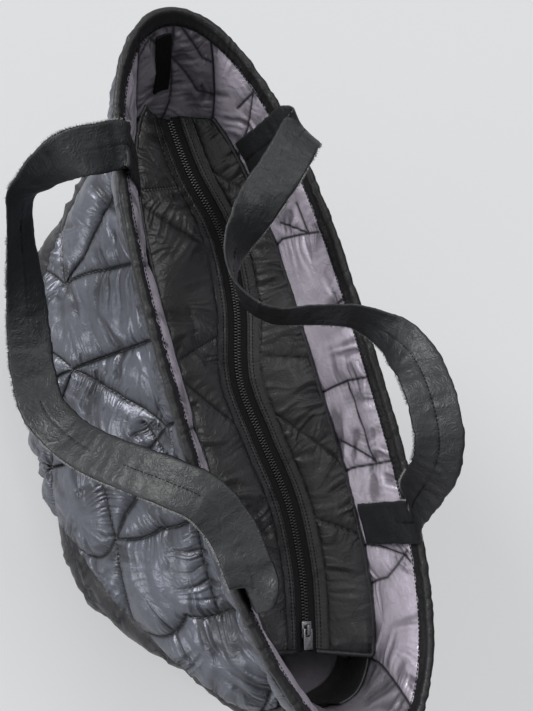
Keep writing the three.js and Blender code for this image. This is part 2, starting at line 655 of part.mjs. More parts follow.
add("flap_front", flap(-1), darkCloth);
add("flap_back", flap(1), darkCloth);
const chainSide = chainWidth / 2;
const tapeSide = zipTapeShow - gap;
const chainEnd = sliderPlace + slider.length / 2 - slider.nose - gap;
add("zip_tape_front", zipStrip(-tapeSide, -chainSide - gap, zipTapeThickness, zipNear), blackTrim);
add("zip_tape_back", zipStrip(chainSide + gap, tapeSide, zipTapeThickness, zipNear), blackTrim);
add("zip_chain", zipStrip(-chainSide, chainSide, chainHeight, chainEnd), blackTrim);

const sliderSeat = new THREE.Group();
sliderSeat.position.copy(zipPoint(sliderPlace));
const sliderAhead = zipSide(sliderPlace);
sliderSeat.rotation.z = Math.atan2(-sliderAhead.x, sliderAhead.y);
bag.add(sliderSeat);
add("zip_slider", zipSlider(), darkMetal, sliderSeat);
const pullMesh = add("zip_pull", zipPull(), darkMetal, sliderSeat);
pullMesh.position.z = hingeHeight;

add("handle_front", handle(frontRoute, -1), webbing);
add("handle_back", handle(backRoute, 1), webbing);

export default bag;
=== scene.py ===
# %% [markdown]
# # A quilted tote bag
# The real bag is sewn from thin satin nylon over padding. Stitched lines hold the padding down, and
# the cloth gathers into small folds beside them. Everything here is drawn round a fixed frame, the
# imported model, so each piece goes where that frame says, in metres.

# %% The fixed frame
import math
import bpy
import numpy as np
from mathutils import Matrix, Vector


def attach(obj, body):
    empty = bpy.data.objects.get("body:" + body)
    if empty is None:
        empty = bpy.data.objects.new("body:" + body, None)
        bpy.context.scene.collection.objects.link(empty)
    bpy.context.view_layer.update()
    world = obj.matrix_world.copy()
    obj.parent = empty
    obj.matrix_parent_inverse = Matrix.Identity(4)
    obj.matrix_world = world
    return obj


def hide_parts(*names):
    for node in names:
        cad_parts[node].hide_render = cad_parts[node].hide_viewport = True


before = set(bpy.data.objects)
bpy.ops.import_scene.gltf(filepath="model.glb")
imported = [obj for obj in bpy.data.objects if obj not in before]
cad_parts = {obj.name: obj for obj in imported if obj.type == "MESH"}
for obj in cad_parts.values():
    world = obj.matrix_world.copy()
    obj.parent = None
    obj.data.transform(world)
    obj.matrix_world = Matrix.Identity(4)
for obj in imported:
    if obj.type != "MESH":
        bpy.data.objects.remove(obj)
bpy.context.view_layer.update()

# %% [markdown]
# ## Camera
# The photograph looks down on the bag from above its front and is turned on its side. A camera can
# be aimed with a Track To constraint, but a roll is easier to state as three directions: to the
# right of the picture, up the picture, and back towards the photographer.

# %% Camera
AZIMUTH, ELEVATION, ROLL = (math.radians(a) for a in (7.06, 63.0, 67.09))
DISTANCE = 0.62
TARGET = Vector((-0.01403, 0.02554, 0.31))
LENS, SENSOR_WIDTH = 41.35, 36.0  # millimetres

level_part = math.cos(ELEVATION)
back = Vector((level_part * math.sin(AZIMUTH), -level_part * math.cos(AZIMUTH), math.sin(ELEVATION)))
level = Vector((math.cos(AZIMUTH), math.sin(AZIMUTH), 0.0))
over = level.cross(-back)
view_right = math.cos(ROLL) * level + math.sin(ROLL) * over
view_up = math.cos(ROLL) * over - math.sin(ROLL) * level

camera_data = bpy.data.cameras.new("camera")
camera_data.lens = LENS
camera_data.sensor_width = SENSOR_WIDTH
camera = bpy.data.objects.new("camera", camera_data)
bpy.context.scene.collection.objects.link(camera)
turned = Matrix((view_right, view_up, back)).transposed().to_4x4()
camera.matrix_world = Matrix.Translation(TARGET + DISTANCE * back) @ turned
bpy.context.scene.camera = camera
print("camera at", tuple(round(c, 3) for c in camera.matrix_world.translation))

# %% [markdown]
# ## Floor and light
# Satin is all highlights, so the light matters more than the colour. The world is a soft dome that is
# bright towards the upper left of the picture and dim on the other side, so that each pillow has a
# light flank and a dark one. Three far lamps add the glints; being far, they light the floor evenly.
# Their places are stated in the picture's own directions. The floor is a middle grey that also gives
# off some light of its own. No piece can block that light, so the bag's shadow stays faint.

# %% Floor and light
FLOOR_SIZE = 8.0
FLOOR_GREY, FLOOR_GLOW = 0.42, 0.33
DOME_DIM, DOME_BRIGHT, DOME_EDGE = 0.08, 0.90, -0.4
COOL_WHITE = (0.96, 0.975, 1.0, 1.0)


def toward(right, up, near):
    """A direction stated by the picture: to its right, up it, and towards the camera."""
    return (right * view_right + up * view_up + near * back).normalized()


def lamp(name, direction, spread, power):
    """A far soft lamp that shines from one direction of the picture, as wide as spread degrees."""
    data = bpy.data.lights.new(name, "SUN")
    data.angle = math.radians(spread)
    data.energy = power
    found = bpy.data.objects.new(name, data)
    bpy.context.scene.collection.objects.link(found)
    turn = direction.to_track_quat("Z", "Y").to_matrix().to_4x4()
    found.matrix_world = Matrix.Translation(TARGET + DISTANCE * direction) @ turn
    return found


bpy.ops.object.select_all(action="DESELECT")
bpy.ops.mesh.primitive_plane_add(size=FLOOR_SIZE)
floor = bpy.context.object
floor.name = "floor"
key = lamp("key_lamp", toward(-0.7, 0.7, 0.75), 22, 1.95)
rim = lamp("rim_lamp", toward(0.65, 0.6, 0.8), 24, 0.5)
low = lamp("low_lamp", toward(-0.9, -0.4, 0.6), 18, 0.6)


def dome(direction):
    """A world whose light grows smoothly towards one direction."""
    world = bpy.data.worlds.new("studio")
    world.use_nodes = True
    tree = world.node_tree
    facing = tree.nodes.new("ShaderNodeVectorMath")
    facing.operation = "DOT_PRODUCT"
    facing.inputs[1].default_value = direction
    tree.links.new(tree.nodes.new("ShaderNodeTexCoord").outputs["Generated"], facing.inputs[0])
    growth = tree.nodes.new("ShaderNodeMapRange")
    growth.interpolation_type = "SMOOTHSTEP"
    growth.inputs["From Min"].default_value = DOME_EDGE
    growth.inputs["To Min"].default_value = DOME_DIM
    growth.inputs["To Max"].default_value = DOME_BRIGHT
    tree.links.new(facing.outputs["Value"], growth.inputs["Value"])
    sky = tree.nodes["Background"]
    sky.inputs["Color"].default_value = COOL_WHITE
    tree.links.new(growth.outputs["Result"], sky.inputs["Strength"])
    return world


bpy.context.scene.world = dome(toward(-0.4, 0.7, 0.8))
bpy.context.scene.view_settings.view_transform = "Standard"
print("lamps:", key.name, rim.name, low.name, "dome from", DOME_DIM, "to", DOME_BRIGHT)

# %% [markdown]
# ## The shape of the walls
# Seen from above, every level of the bag is one closed outline: a rounded box at the base and a
# long leaf at the mouth. A short table of levels is enough, with smooth values between its rows.
# The outlines are worked out once into a fine table, so that any piece can then ask for a point on
# the wall by two numbers: t round the bag (0 far tip, 0.5 front, 1 near tip, 1.5 back) and its
# share of the height. Lengths are in millimetres until a mesh is made.

# %% The wall
MM = 0.001
HEIGHT = 310.0
MOUTH_LENGTH, MOUTH_DEPTH, MOUTH_LEAN = 594.0, 177.0, 31.5
BASE_LENGTH, BASE_DEPTH = 280.0, 190.0
BASE_THICKNESS, HEM_HEIGHT = 7.0, 14.0
CLEAR = 0.3

# far and near: how far the outline reaches to each end. lean: its shift to the back. depth: its width
# from front to back. power and round: how boxy or pointed it is. side: how wide the end panels are.
LEVELS = {
    "up": (0.0, 0.07, 0.22, 0.45, 0.62, 0.77, 0.9, 1.0),
    "far": (0.0, 0.03, 0.18, 0.41, 0.6, 0.78, 0.9, 1.0),
    "near": (0.0, 0.2, 0.32, 0.65, 0.905, 0.915, 0.96, 1.0),
    "lean": (0.0, -0.1, -0.03, 0.35, 0.83, 1.27, 1.17, 1.0),
    "depth": (1.05, 1.07, 1.17, 1.06, 0.88, 0.77, 0.88, 1.0),
    "power": (5.5, 5.5, 4.35, 3.75, 3.7, 3.2, 3.0, 2.8),
    "round": (0.2, 0.22, 0.27, 0.34, 0.34, 0.42, 0.46, 0.5),
    "side": (0.86, 0.94, 0.97, 0.55, 0.32, 0.27, 0.22, 0.18),
}


def smooth(places, values, at):
    """Smooth values between the rows of a table, as a spline through them."""
    places, values, at = (np.asarray(a, float) for a in (places, values, at))
    before = np.concatenate([[0], np.arange(len(places) - 1)])
    after = np.concatenate([np.arange(1, len(places)), [len(places) - 1]])
    slopes = (values[after] - values[before]) / (places[after] - places[before])
    i = np.clip(np.searchsorted(places, at, "right") - 1, 0, len(places) - 2)
    span = places[i + 1] - places[i]
    s = (at - places[i]) / span
    start = (2 * s**3 - 3 * s**2 + 1) * values[i] + (s**3 - 2 * s**2 + s) * slopes[i] * span
    return start + (3 * s**2 - 2 * s**3) * values[i + 1] + (s**3 - s**2) * slopes[i + 1] * span


def level_value(name, up):
    """One column of the table of levels, at a share of the height."""
    return smooth(LEVELS["up"], LEVELS[name], up)


TABLE_ROWS, TABLE_HALF = 221, 900
QUARTER_STEPS, QUARTER_TURN = 160, 0.75


def outline(up):
    """Half outline of one level, evenly spaced from the far tip to the near tip, and its length."""
    far = -(BASE_LENGTH + (MOUTH_LENGTH - BASE_LENGTH) * level_value("far", up)) / 2
    near = (BASE_LENGTH + (MOUTH_LENGTH - BASE_LENGTH) * level_value("near", up)) / 2
    middle, a = (far + near) / 2, (near - far) / 2
    d = level_value("depth", up) * MOUTH_DEPTH / 2
    power, bend = level_value("power", up), level_value("round", up)
    s = np.linspace(0, 1, QUARTER_STEPS)
    tip_x = a * (1 - (s * QUARTER_TURN) ** (1 / bend)) ** (1 / power)
    side_x = tip_x[-1] * (1 - s[1:])
    x = np.concatenate([tip_x, side_x])
    y = np.concatenate([d * s * QUARTER_TURN, d * (1 - (side_x / a) ** power) ** bend])
    x = np.concatenate([middle - x, (middle + x[:-1])[::-1]])
    y = np.concatenate([y, y[:-1][::-1]])
    run = np.concatenate([[0], np.cumsum(np.hypot(np.diff(x), np.diff(y)))])
    even = np.linspace(0, run[-1], TABLE_HALF + 1)
    return np.interp(even, run, x), np.interp(even, run, y), run[-1]


ups = np.linspace(0, 1, TABLE_ROWS)
wall_table = np.zeros((TABLE_ROWS, 2 * TABLE_HALF + 1, 3))
half_lengths = np.zeros(TABLE_ROWS)
for row, up in enumerate(ups):
    x, y, half_lengths[row] = outline(up)
    lean = level_value("lean", up) * MOUTH_LEAN
    wall_table[row, : TABLE_HALF + 1] = np.stack([x, lean - y, np.full_like(x, up * HEIGHT)], -1)
    wall_table[row, TABLE_HALF:] = np.stack([x, lean + y, np.full_like(x, up * HEIGHT)], -1)[::-1]

round_steps = np.concatenate([wall_table[:, -2:-1], wall_table, wall_table[:, 1:2]], 1)
along_table = round_steps[:, 2:] - round_steps[:, :-2]
normal_table = np.cross(along_table, np.gradient(wall_table, axis=0))
normal_table /= np.linalg.norm(normal_table, axis=-1, keepdims=True)


def look_up(table, t, up):
    """Value of a table at places t round the bag and shares up of its height."""
    t, up = np.broadcast_arrays(np.mod(t, 2.0), np.clip(up, 0.0, 1.0))
    column = t * TABLE_HALF
    row = up * (TABLE_ROWS - 1)
    c = np.minimum(column.astype(int), 2 * TABLE_HALF - 1)
    r = np.minimum(row.astype(int), TABLE_ROWS - 2)
    cf, rf = (column - c)[..., None], (row - r)[..., None]
    low_row = table[r, c] * (1 - cf) + table[r, c + 1] * cf
    high_row = table[r + 1, c] * (1 - cf) + table[r + 1, c + 1] * cf
    return low_row * (1 - rf) + high_row * rf


def unit(v):
    return v / np.maximum(np.linalg.norm(v, axis=-1, keepdims=True), 1e-9)


def wall(t, up):
    return look_up(wall_table, t, up)


def outward(t, up):
    return unit(look_up(normal_table, t, up))


def place(t, up, out):
    """Points of the wall's middle surface moved outwards."""
    return wall(t, up) + outward(t, up) * np.asarray(out)[..., None]


def half_length(up):
    return np.interp(up, ups, half_lengths)


def side_share(up):
    """Half width of the end panels, in t."""
    return level_value("side", up) * BASE_DEPTH / half_length(up)


print("the mouth is", round(half_lengths[-1] * 2), "mm round, the base", round(half_lengths[0] * 2), "mm")

# %% [markdown]
# ## Chance that is the same each time
# Folds, fibres and stitches must not repeat, yet the script has to give the same bag at each run.
# Value noise does that: random numbers sit on a grid, drawn from a numbered seed, and the values
# between them are blended smoothly.

# %% Noise
NOISE_SIZE, NOISE_LENGTH = 64, 509


def noise_1d(x, seed):
    """Smooth noise from -1 to 1 along a line, one bump for each unit."""
    values = np.random.default_rng(seed).uniform(-1, 1, NOISE_LENGTH)
    i = np.floor(x).astype(int)
    f = x - i
    f = f * f * (3 - 2 * f)
    return values[i % NOISE_LENGTH] * (1 - f) + values[(i + 1) % NOISE_LENGTH] * f


def noise_3d(points, size, seed):
    """Smooth noise from -1 to 1 in space, with bumps of the given size in millimetres."""
    values = np.random.default_rng(seed).uniform(-1, 1, (NOISE_SIZE,) * 3)
    p = np.asarray(points) / np.asarray(size)
    i = np.floor(p).astype(int)
    f = p - i
    f = f * f * (3 - 2 * f)
    total = 0.0
    for corner in np.ndindex(2, 2, 2):
        near = np.abs(1 - np.array(corner) - f)
        x, y, z = np.moveaxis((i + corner) % NOISE_SIZE, -1, 0)
        total = total + near[..., 0] * near[..., 1] * near[..., 2] * values[x, y, z]
    return total


print("noise at one point:", round(float(noise_3d(np.array([1.0, 2.0, 3.0]), 5.0, 1)), 3))

# %% [markdown]
# ## From arrays to pieces
# Soft goods are easier to state as grids of points than to push into shape by hand. A padded sheet
# is two grids, one for each face, sewn together round the border. The face that nobody sees needs
# only every fourth point, so the border's faces join four short edges to one long one.

# %% Making meshes
HIDDEN_STEP = 4


def new_piece(name, points, faces):
    """A piece from points in millimetres and faces, smooth shaded, that rides on the bag."""
    mesh = bpy.data.meshes.new(name)
    mesh.from_pydata((np.asarray(points).reshape(-1, 3) * MM).tolist(), [], faces)
    mesh.polygons.foreach_set("use_smooth", np.ones(len(mesh.polygons), bool))
    mesh.update()
    piece = bpy.data.objects.new(name, mesh)
    bpy.context.scene.collection.objects.link(piece)
    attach(piece, "bag")
    return piece


def set_attribute(piece, name, values):
    """A number for each point, which a material can read."""
    field = piece.data.attributes.new(name, "FLOAT", "POINT")
    filled = np.zeros(len(piece.data.vertices), np.float32)
    flat = np.asarray(values, np.float32).ravel()
    filled[: len(flat)] = flat
    field.data.foreach_set("value", filled)


def grid_faces(rows, columns, offset=0):
    """The four-sided faces of a grid whose points are numbered row by row from offset."""
    index = np.arange(rows * columns).reshape(rows, columns) + offset
    corners = (index[:-1, :-1], index[:-1, 1:], index[1:, 1:], index[1:, :-1])
    return np.stack(corners, -1).reshape(-1, 4)


def border_of(index):
    """The numbers round the border of a grid."""
    return np.concatenate([index[0, :-1], index[:-1, -1], index[-1, :0:-1], index[:0:-1, 0]])


def padded_sheet(name, shown, hidden, step=HIDDEN_STEP):
    """A closed sheet. Its shown face points along columns x rows; its hidden face is coarser."""
    rows, columns = shown.shape[:2]
    coarse = hidden[::step, ::step]
    faces = grid_faces(rows, columns).tolist()
    faces += grid_faces(*coarse.shape[:2], offset=rows * columns)[:, ::-1].tolist()
    fine_ring = border_of(np.arange(rows * columns).reshape(rows, columns))
    coarse_ring = border_of(np.arange(coarse.shape[0] * coarse.shape[1]).reshape(coarse.shape[:2]))
    coarse_ring = coarse_ring + rows * columns
    for i in range(len(coarse_ring)):
        j = (i + 1) % len(coarse_ring)
        run = [fine_ring[(i * step + k) % len(fine_ring)] for k in range(step + 1)]
        faces.append([int(v) for v in run[::-1] + [coarse_ring[i], coarse_ring[j]]])
    points = np.concatenate([shown.reshape(-1, 3), coarse.reshape(-1, 3)])
    return new_piece(name, points, faces)


def tube(name, rings, looped=False):
    """A closed body through rings of points: round a loop, or with flat ends."""
    count, size = rings.shape[:2]
    index = np.arange(count * size).reshape(count, size)
    if looped:
        index = np.concatenate([index, index[:1]], 0)
    wide = np.concatenate([index, index[:, :1]], 1)
    corners = (wide[:-1, :-1], wide[1:, :-1], wide[1:, 1:], wide[:-1, 1:])
    faces = np.stack(corners, -1).reshape(-1, 4).tolist()
    if not looped:
        faces += [index[0].tolist(), index[-1][::-1].tolist()]
    piece = new_piece(name, rings, faces)
    return turned_out(piece)


def turned_out(piece):
    """Faces turned to point outwards, judged by the volume that they enclose."""
    mesh = piece.data
    mesh.calc_loop_triangles()
    points = np.zeros(len(mesh.vertices) * 3)
    mesh.vertices.foreach_get("co", points)
    points = points.reshape(-1, 3)
    corners = np.zeros(len(mesh.loop_triangles) * 3, int)
    mesh.loop_triangles.foreach_get("vertices", corners)
    a, b, c = (points[corners.reshape(-1, 3)[:, k]] for k in range(3))
    if np.einsum("ij,ij->i", a, np.cross(b, c)).sum() < 0:
        mesh.flip_normals()
    return piece


print("a hidden face keeps one point in", HIDDEN_STEP**2)

# %% [markdown]
# ## Finishes
# Two effects appear on more than one cloth: the fine crinkle of thin nylon, and the dark line where
# thread pulls the cloth down, with painted shade beside it and in the valleys of the gathers. Each
# is a node group with named inputs and outputs. The shader stays in the material, with its even
# values set on its own sockets. The lining of the two ends is painted darker, as painted shade. Of
# the two flaps, the front one is painted lighter, as painted light, and the back one darker, as
# painted shade; these tones were tuned to the photograph, where they lie in different light.

# %% Node groups


def node_group(name, inputs, outputs):
    """An empty shader group with float or colour sockets."""
    group = bpy.data.node_groups.new(name, "ShaderNodeTree")
    for label, kind, value in inputs:
        socket = group.interface.new_socket(label, in_out="INPUT", socket_type=kind)
        socket.default_value = value
    for label, kind in outputs:
        group.interface.new_socket(label, in_out="OUTPUT", socket_type=kind)
    start = group.nodes.new("NodeGroupInput")
    end = group.nodes.new("NodeGroupOutput")
    return group, start, end


def math_node(tree, operation, a, b=None):
    """A Math node fed by sockets or numbers."""
    node = tree.nodes.new("ShaderNodeMath")
    node.operation = operation
    for socket, value in zip(node.inputs, (a, b)):
        if value is None:
            continue
        if isinstance(value, (int, float)):
            socket.default_value = value
        else:
            tree.links.new(value, socket)
    return node.outputs[0]


FLOAT, COLOUR = "NodeSocketFloat", "NodeSocketColor"


def crinkle_group():
    """Crinkle of thin nylon: sharp creases between soft swellings, with a fine grain on them."""
    group, start, end = node_group(
        "nylon_crinkle",
        [("Crease size", FLOAT, 90.0), ("Grain size", FLOAT, 1400.0)],
        [("Height", FLOAT), ("Patch", FLOAT)],
    )
    where = group.nodes.new("ShaderNodeTexCoord").outputs["Object"]
    found = []
    for label, warp, detail in (("Crease size", 1.4, 3.0), ("Grain size", 0.0, 2.0)):
        noise = group.nodes.new("ShaderNodeTexNoise")
        noise.inputs["Detail"].default_value = detail
        noise.inputs["Distortion"].default_value = warp
        group.links.new(where, noise.inputs["Vector"])
        group.links.new(start.outputs[label], noise.inputs["Scale"])
        found.append(noise.outputs["Fac"])
    crease = math_node(group, "ABSOLUTE", math_node(group, "SUBTRACT", found[0], 0.5))
    swelling = math_node(group, "MULTIPLY", crease, 3.0)
    fine = math_node(group, "MULTIPLY", found[1], 0.1)
    group.links.new(math_node(group, "ADD", swelling, fine), end.inputs["Height"])
    group.links.new(found[0], end.inputs["Patch"])
    return group


def seam_group():
    """Cloth darker at its thread lines and with painted shade near them and in valleys; tone varies with the
    crinkle.
    """
    group, start, end = node_group(
        "stitched_line_and_painted_shade",
        [("Cloth", COLOUR, (0.5, 0.5, 0.5, 1)), ("Line", COLOUR, (0, 0, 0, 1)), ("Patch", FLOAT, 0.5)],
        [("Color", COLOUR)],
    )
    thread_and_painted_shade = group.nodes.new("ShaderNodeAttribute")
    thread_and_painted_shade.attribute_name = "thread_and_painted_shade"
    shade = group.nodes.new("ShaderNodeMix")
    shade.data_type = "RGBA"
    shade.blend_type = "MULTIPLY"
    shade.inputs["Factor"].default_value = 0.35
    group.links.new(start.outputs["Cloth"], shade.inputs["A"])
    group.links.new(start.outputs["Patch"], shade.inputs["B"])
    mix = group.nodes.new("ShaderNodeMix")
    mix.data_type = "RGBA"
    group.links.new(thread_and_painted_shade.outputs["Fac"], mix.inputs["Factor"])
    group.links.new(shade.outputs["Result"], mix.inputs["A"])
    group.links.new(start.outputs["Line"], mix.inputs["B"])
    group.links.new(mix.outputs["Result"], end.inputs["Color"])
    return group


crinkle, seam_shade = crinkle_group(), seam_group()
print("node groups:", crinkle.name, seam_shade.name)

# %% Cloth materials
CREASE_DEPTH, GRAIN_DEPTH = 0.0012, 0.0002  # metres


def crinkled(name, crease, bump, depth):
    """A new material with its nodes, whose surface is raised by the crinkle group."""
    material = bpy.data.materials.new(name)
    material.use_nodes = True
    tree = material.node_tree
    shader = tree.nodes["Principled BSDF"]
    grain = tree.nodes.new("ShaderNodeGroup")
    grain.node_tree = crinkle
    grain.inputs["Crease size"].default_value = crease
    raised = tree.nodes.new("ShaderNodeBump")
    raised.inputs["Strength"].default_value = bump
    raised.inputs["Distance"].default_value = depth
    tree.links.new(grain.outputs["Height"], raised.inputs["Height"])
    tree.links.new(raised.outputs["Normal"], shader.inputs["Normal"])
    return material, tree, shader, grain


def cloth(name, colour, line, rough, crease=110.0, bump=0.3, specular=0.5, metallic=0.0):
    """A satin nylon: crinkled, darker in its thread lines, with painted shade near them. Metallic lends it
    the tinted gloss.
    """
    material, tree, shader, grain = crinkled(name, crease, bump, CREASE_DEPTH)
    shade = tree.nodes.new("ShaderNodeGroup")
    shade.node_tree = seam_shade
    shade.inputs["Cloth"].default_value = (*colour, 1)
    shade.inputs["Line"].default_value = (*line, 1)
    tree.links.new(grain.outputs["Patch"], shade.inputs["Patch"])
    tree.links.new(shade.outputs["Color"], shader.inputs["Base Color"])
    shader.inputs["Roughness"].default_value = rough
    shader.inputs["Specular IOR Level"].default_value = specular
    shader.inputs["Metallic"].default_value = metallic
    return material


BLACK = (0.004, 0.004, 0.005)
outer_cloth = cloth("outer_satin", (0.128, 0.134, 0.165), BLACK, 0.35, bump=0.2, specular=0.9, metallic=0.55)
dark_cloth = cloth("dark_satin", (0.022, 0.022, 0.024), BLACK, 0.38, specular=0.4, metallic=0.1)
# One cloth for both flaps: the front flap is painted lighter as painted light, the back flap darker as
# painted shade.
flap_painted_light_shade_cloth = {
    -1: cloth("flap_front_painted_light_satin", (0.047, 0.047, 0.048), BLACK, 0.36, specular=0.55, metallic=0.1),
    1: cloth("flap_back_painted_shade_satin", (0.031, 0.031, 0.032), BLACK, 0.38, specular=0.42, metallic=0.1),
}
DUSK = (0.05, 0.045, 0.055)  # the thread lines of the lining, and its painted shade near them and in its valleys
lining_cloth = cloth("lining_satin", (0.84, 0.765, 0.88), DUSK, 0.36, specular=0.6, metallic=0.3)
# The lining of the two ends: the same cloth, painted darker as painted shade.
painted_shade_lining_cloth = cloth("painted_shade_lining_satin", (0.36, 0.335, 0.375), DUSK, 0.36, specular=0.5, metallic=0.3)
strap_cloth = cloth("strap_satin", (0.023, 0.024, 0.025), BLACK, 0.41, crease=150.0, bump=0.35,
                    specular=0.42, metallic=0.05)
hem_cloth = cloth("hem_satin", (0.018, 0.018, 0.019), BLACK, 0.42, crease=150.0, specular=0.35)
thread = cloth("black_thread", (0.005, 0.005, 0.006), BLACK, 0.6, crease=600.0, specular=0.25)
tape_cloth = cloth("black_tape", (0.008, 0.008, 0.009), BLACK, 0.7, crease=400.0, specular=0.2)
fray = cloth("frayed_edge", (0.36, 0.36, 0.36), (0.2, 0.2, 0.2), 0.8, crease=300.0, specular=0.2)


def plain_finish(name, colour, rough, metallic, grain_size, bump):
    """Moulded plastic, plated metal or paint with a fine surface, smoother in some patches."""
    material, tree, shader, grain = crinkled(name, grain_size, bump, GRAIN_DEPTH)
    worn = tree.nodes.new("ShaderNodeMapRange")
    worn.inputs["To Min"].default_value = rough - 0.08
    worn.inputs["To Max"].default_value = rough + 0.12
    tree.links.new(grain.outputs["Patch"], worn.inputs["Value"])
    tree.links.new(worn.outputs["Result"], shader.inputs["Roughness"])
    shader.inputs["Base Color"].default_value = (*colour, 1)
    shader.inputs["Metallic"].default_value = metallic
    return material


tooth_plastic = plain_finish("tooth_plastic", (0.012, 0.012, 0.013), 0.28, 0.0, 700.0, 0.1)
dark_metal = plain_finish("dark_metal", (0.24, 0.24, 0.25), 0.22, 1.0, 500.0, 0.1)
floor_paint = plain_finish("floor_paint", (FLOOR_GREY,) * 3, 0.8, 0.0, 30.0, 0.02)
floor_shader = floor_paint.node_tree.nodes["Principled BSDF"]
floor_shader.inputs["Emission Color"].default_value = COOL_WHITE
floor_shader.inputs["Emission Strength"].default_value = FLOOR_GLOW
floor.data.materials.append(floor_paint)
print("finishes:", len(bpy.data.materials))

# %% [markdown]
# ## Quilting
# A stitched line pins the outer cloth to the padding. Between the lines the padding lifts the cloth
# steeply and then levels off, which is a quarter circle of the distance to the nearest line. Thread
# also shortens the cloth along the line, so the cloth gathers. Close to the thread the gathers are
# fine puffs with sharp valleys; fewer of them reach further out, and the longest are single drag
# lines. Each size of gather has its own pitch, reach and height, and all of them come from the
# distance to the line and the place along it.

# %% Quilting tools
FOLD_SIZES = (
    dict(pitch=1.7, reach=5.0, height=0.55, sharp="valley"),
    dict(pitch=3.4, reach=12.0, height=1.4, sharp="valley"),
    dict(pitch=8.5, reach=30.0, height=2.3, sharp="ridge"),
)
LINE_REACH = 45.0  # further from a line than this, its gathers are gone
LIVELY_SPAN, LEAN_SPAN = 24.0, 17.0  # how far along a line the gathers keep their strength and lean
WARP_SIZE, WARP_SHIFT = 15.0, 3.0  # away from the line, the gathers wander
DRAG_SIZE, FINE_DRAG_SIZE = (26.0, 26.0, 12.0), (12.0, 12.0, 8.0)  # unevenness of the padding
THREAD_HALF, SHADE_REACH, VALLEY_DEPTH = 0.95, 4.5, 1.4  # the thread line, and painted shade near it and in the valleys
STITCH_PITCH, STITCH_LENGTH, STITCH_RADIUS = 3.1, 2.3, 0.42
LINE_STEP = 0.02
BORDER_STEP = 6  # a panel's border is read at one point in this many


def dense(run):
    """A run of (share, up) points with more points between its corners."""
    run = np.asarray(run, float)
    parts = []
    for a, b in zip(run, run[1:]):
        count = max(2, int(np.hypot(*(b - a)) / LINE_STEP))
        parts.append(a + (b - a) * np.linspace(0, 1, count, endpoint=False)[:, None])
    return np.concatenate(parts + [run[-1:]])


def line_field(points, line):
    """Distance from each point to a line, and the place along the line."""
    nearest = np.full(len(points), 1e9)
    place_on = np.zeros(len(points))
    start = 0.0
    for a, b in zip(line, line[1:]):
        ahead = b - a
        length = float(np.linalg.norm(ahead))
        if length < 1e-6:
            continue
        s = np.clip(((points - a) @ ahead) / length**2, 0, 1)
        away = np.linalg.norm(points - a - s[:, None] * ahead, axis=1)
        closer = away < nearest
        nearest[closer] = away[closer]
        place_on[closer] = start + s[closer] * length
        start += length
    return nearest, place_on


def eased(x):
    """A smooth step from 0 to 1."""
    x = np.clip(x, 0, 1)
    return x * x * (3 - 2 * x)


def relaxed(height, hold, rounds):
    """Heights smoothed over the grid wherever hold is under 1."""
    for _ in range(rounds):
        wide = np.pad(height, 1, mode="edge")
        mean = (wide[:-2, 1:-1] + wide[2:, 1:-1] + wide[1:-1, :-2] + wide[1:-1, 2:]) / 4
        height = height * hold + mean * (1 - hold)
    return height


def gathers(away, at, bend, seed):
    """Height of the cloth's gathers at a distance from a line and a place along it."""
    total = np.zeros(len(away))
    lively = 0.3 + 0.7 * eased(noise_1d(at / LIVELY_SPAN, seed + 5) + 0.6)
    lean = away * 0.45 * noise_1d(at / LEAN_SPAN, seed + 6)
    for number, size in enumerate(FOLD_SIZES):
        wave = np.abs(noise_1d((at + bend + lean) / size["pitch"], seed + number))
        wave = 2.2 * wave - 0.8 if size["sharp"] == "valley" else 0.8 - 2.4 * wave
        far = size["reach"] * (0.6 + 0.6 * lively)
        total += size["height"] * wave * np.exp(-away / far) * (1 - np.exp(-away / (0.16 * size["reach"])))
    return total * lively * eased((LINE_REACH - away) / 20)


def quilted_heights(points, lines, loft, reach, gather, seed, rounds=90):
    """Height of the padding over each grid point, and how dark it is painted: thread line and painted shade.
    """
    flat = points.reshape(-1, 3)
    nearest = np.full(len(flat), 1e9)
    fields = []
    for line, strength in lines:
        close = ((flat > line.min(0) - LINE_REACH) & (flat < line.max(0) + LINE_REACH)).all(1)
        close = np.flatnonzero(close)
        away, at = line_field(flat[close], line)
        nearest[close] = np.minimum(nearest[close], away)
        fields.append((close, away, at, strength))
    warp = noise_3d(flat, WARP_SIZE, seed + 50) * WARP_SHIFT
    folds = np.zeros(len(flat))
    for number, (close, away, at, strength) in enumerate(fields):
        share = ((nearest[close] + 1) / (away + 1)) ** 1.6
        bend = warp[close] * np.minimum(away / 10, 1)
        folds[close] += strength * share * gathers(away, at, bend, seed + 10 * number)
    nearest, folds = nearest.reshape(points.shape[:-1]), folds.reshape(points.shape[:-1])
    rise = np.minimum(nearest / reach, 1)
    height = loft * np.sqrt(1 - (1 - rise) ** 2)
    height = relaxed(height, 1 - 0.95 * eased(nearest / (0.5 * reach)), rounds)
    drag = noise_3d(points, DRAG_SIZE, seed + 90) + 0.6 * noise_3d(points, FINE_DRAG_SIZE, seed + 91)
    # Painted shade: the cloth is darkened near each stitched line and in the valleys of the gathers, where
    # shade falls, on top of the dark thread line itself.
    shade = np.exp(-((nearest / THREAD_HALF) ** 2)) + 0.42 * np.exp(-nearest / SHADE_REACH)
    shade = shade + 0.6 * np.clip(-folds / VALLEY_DEPTH, 0, 1)
    return height * (1 + 0.16 * drag) + gather * folds, np.minimum(1, shade)


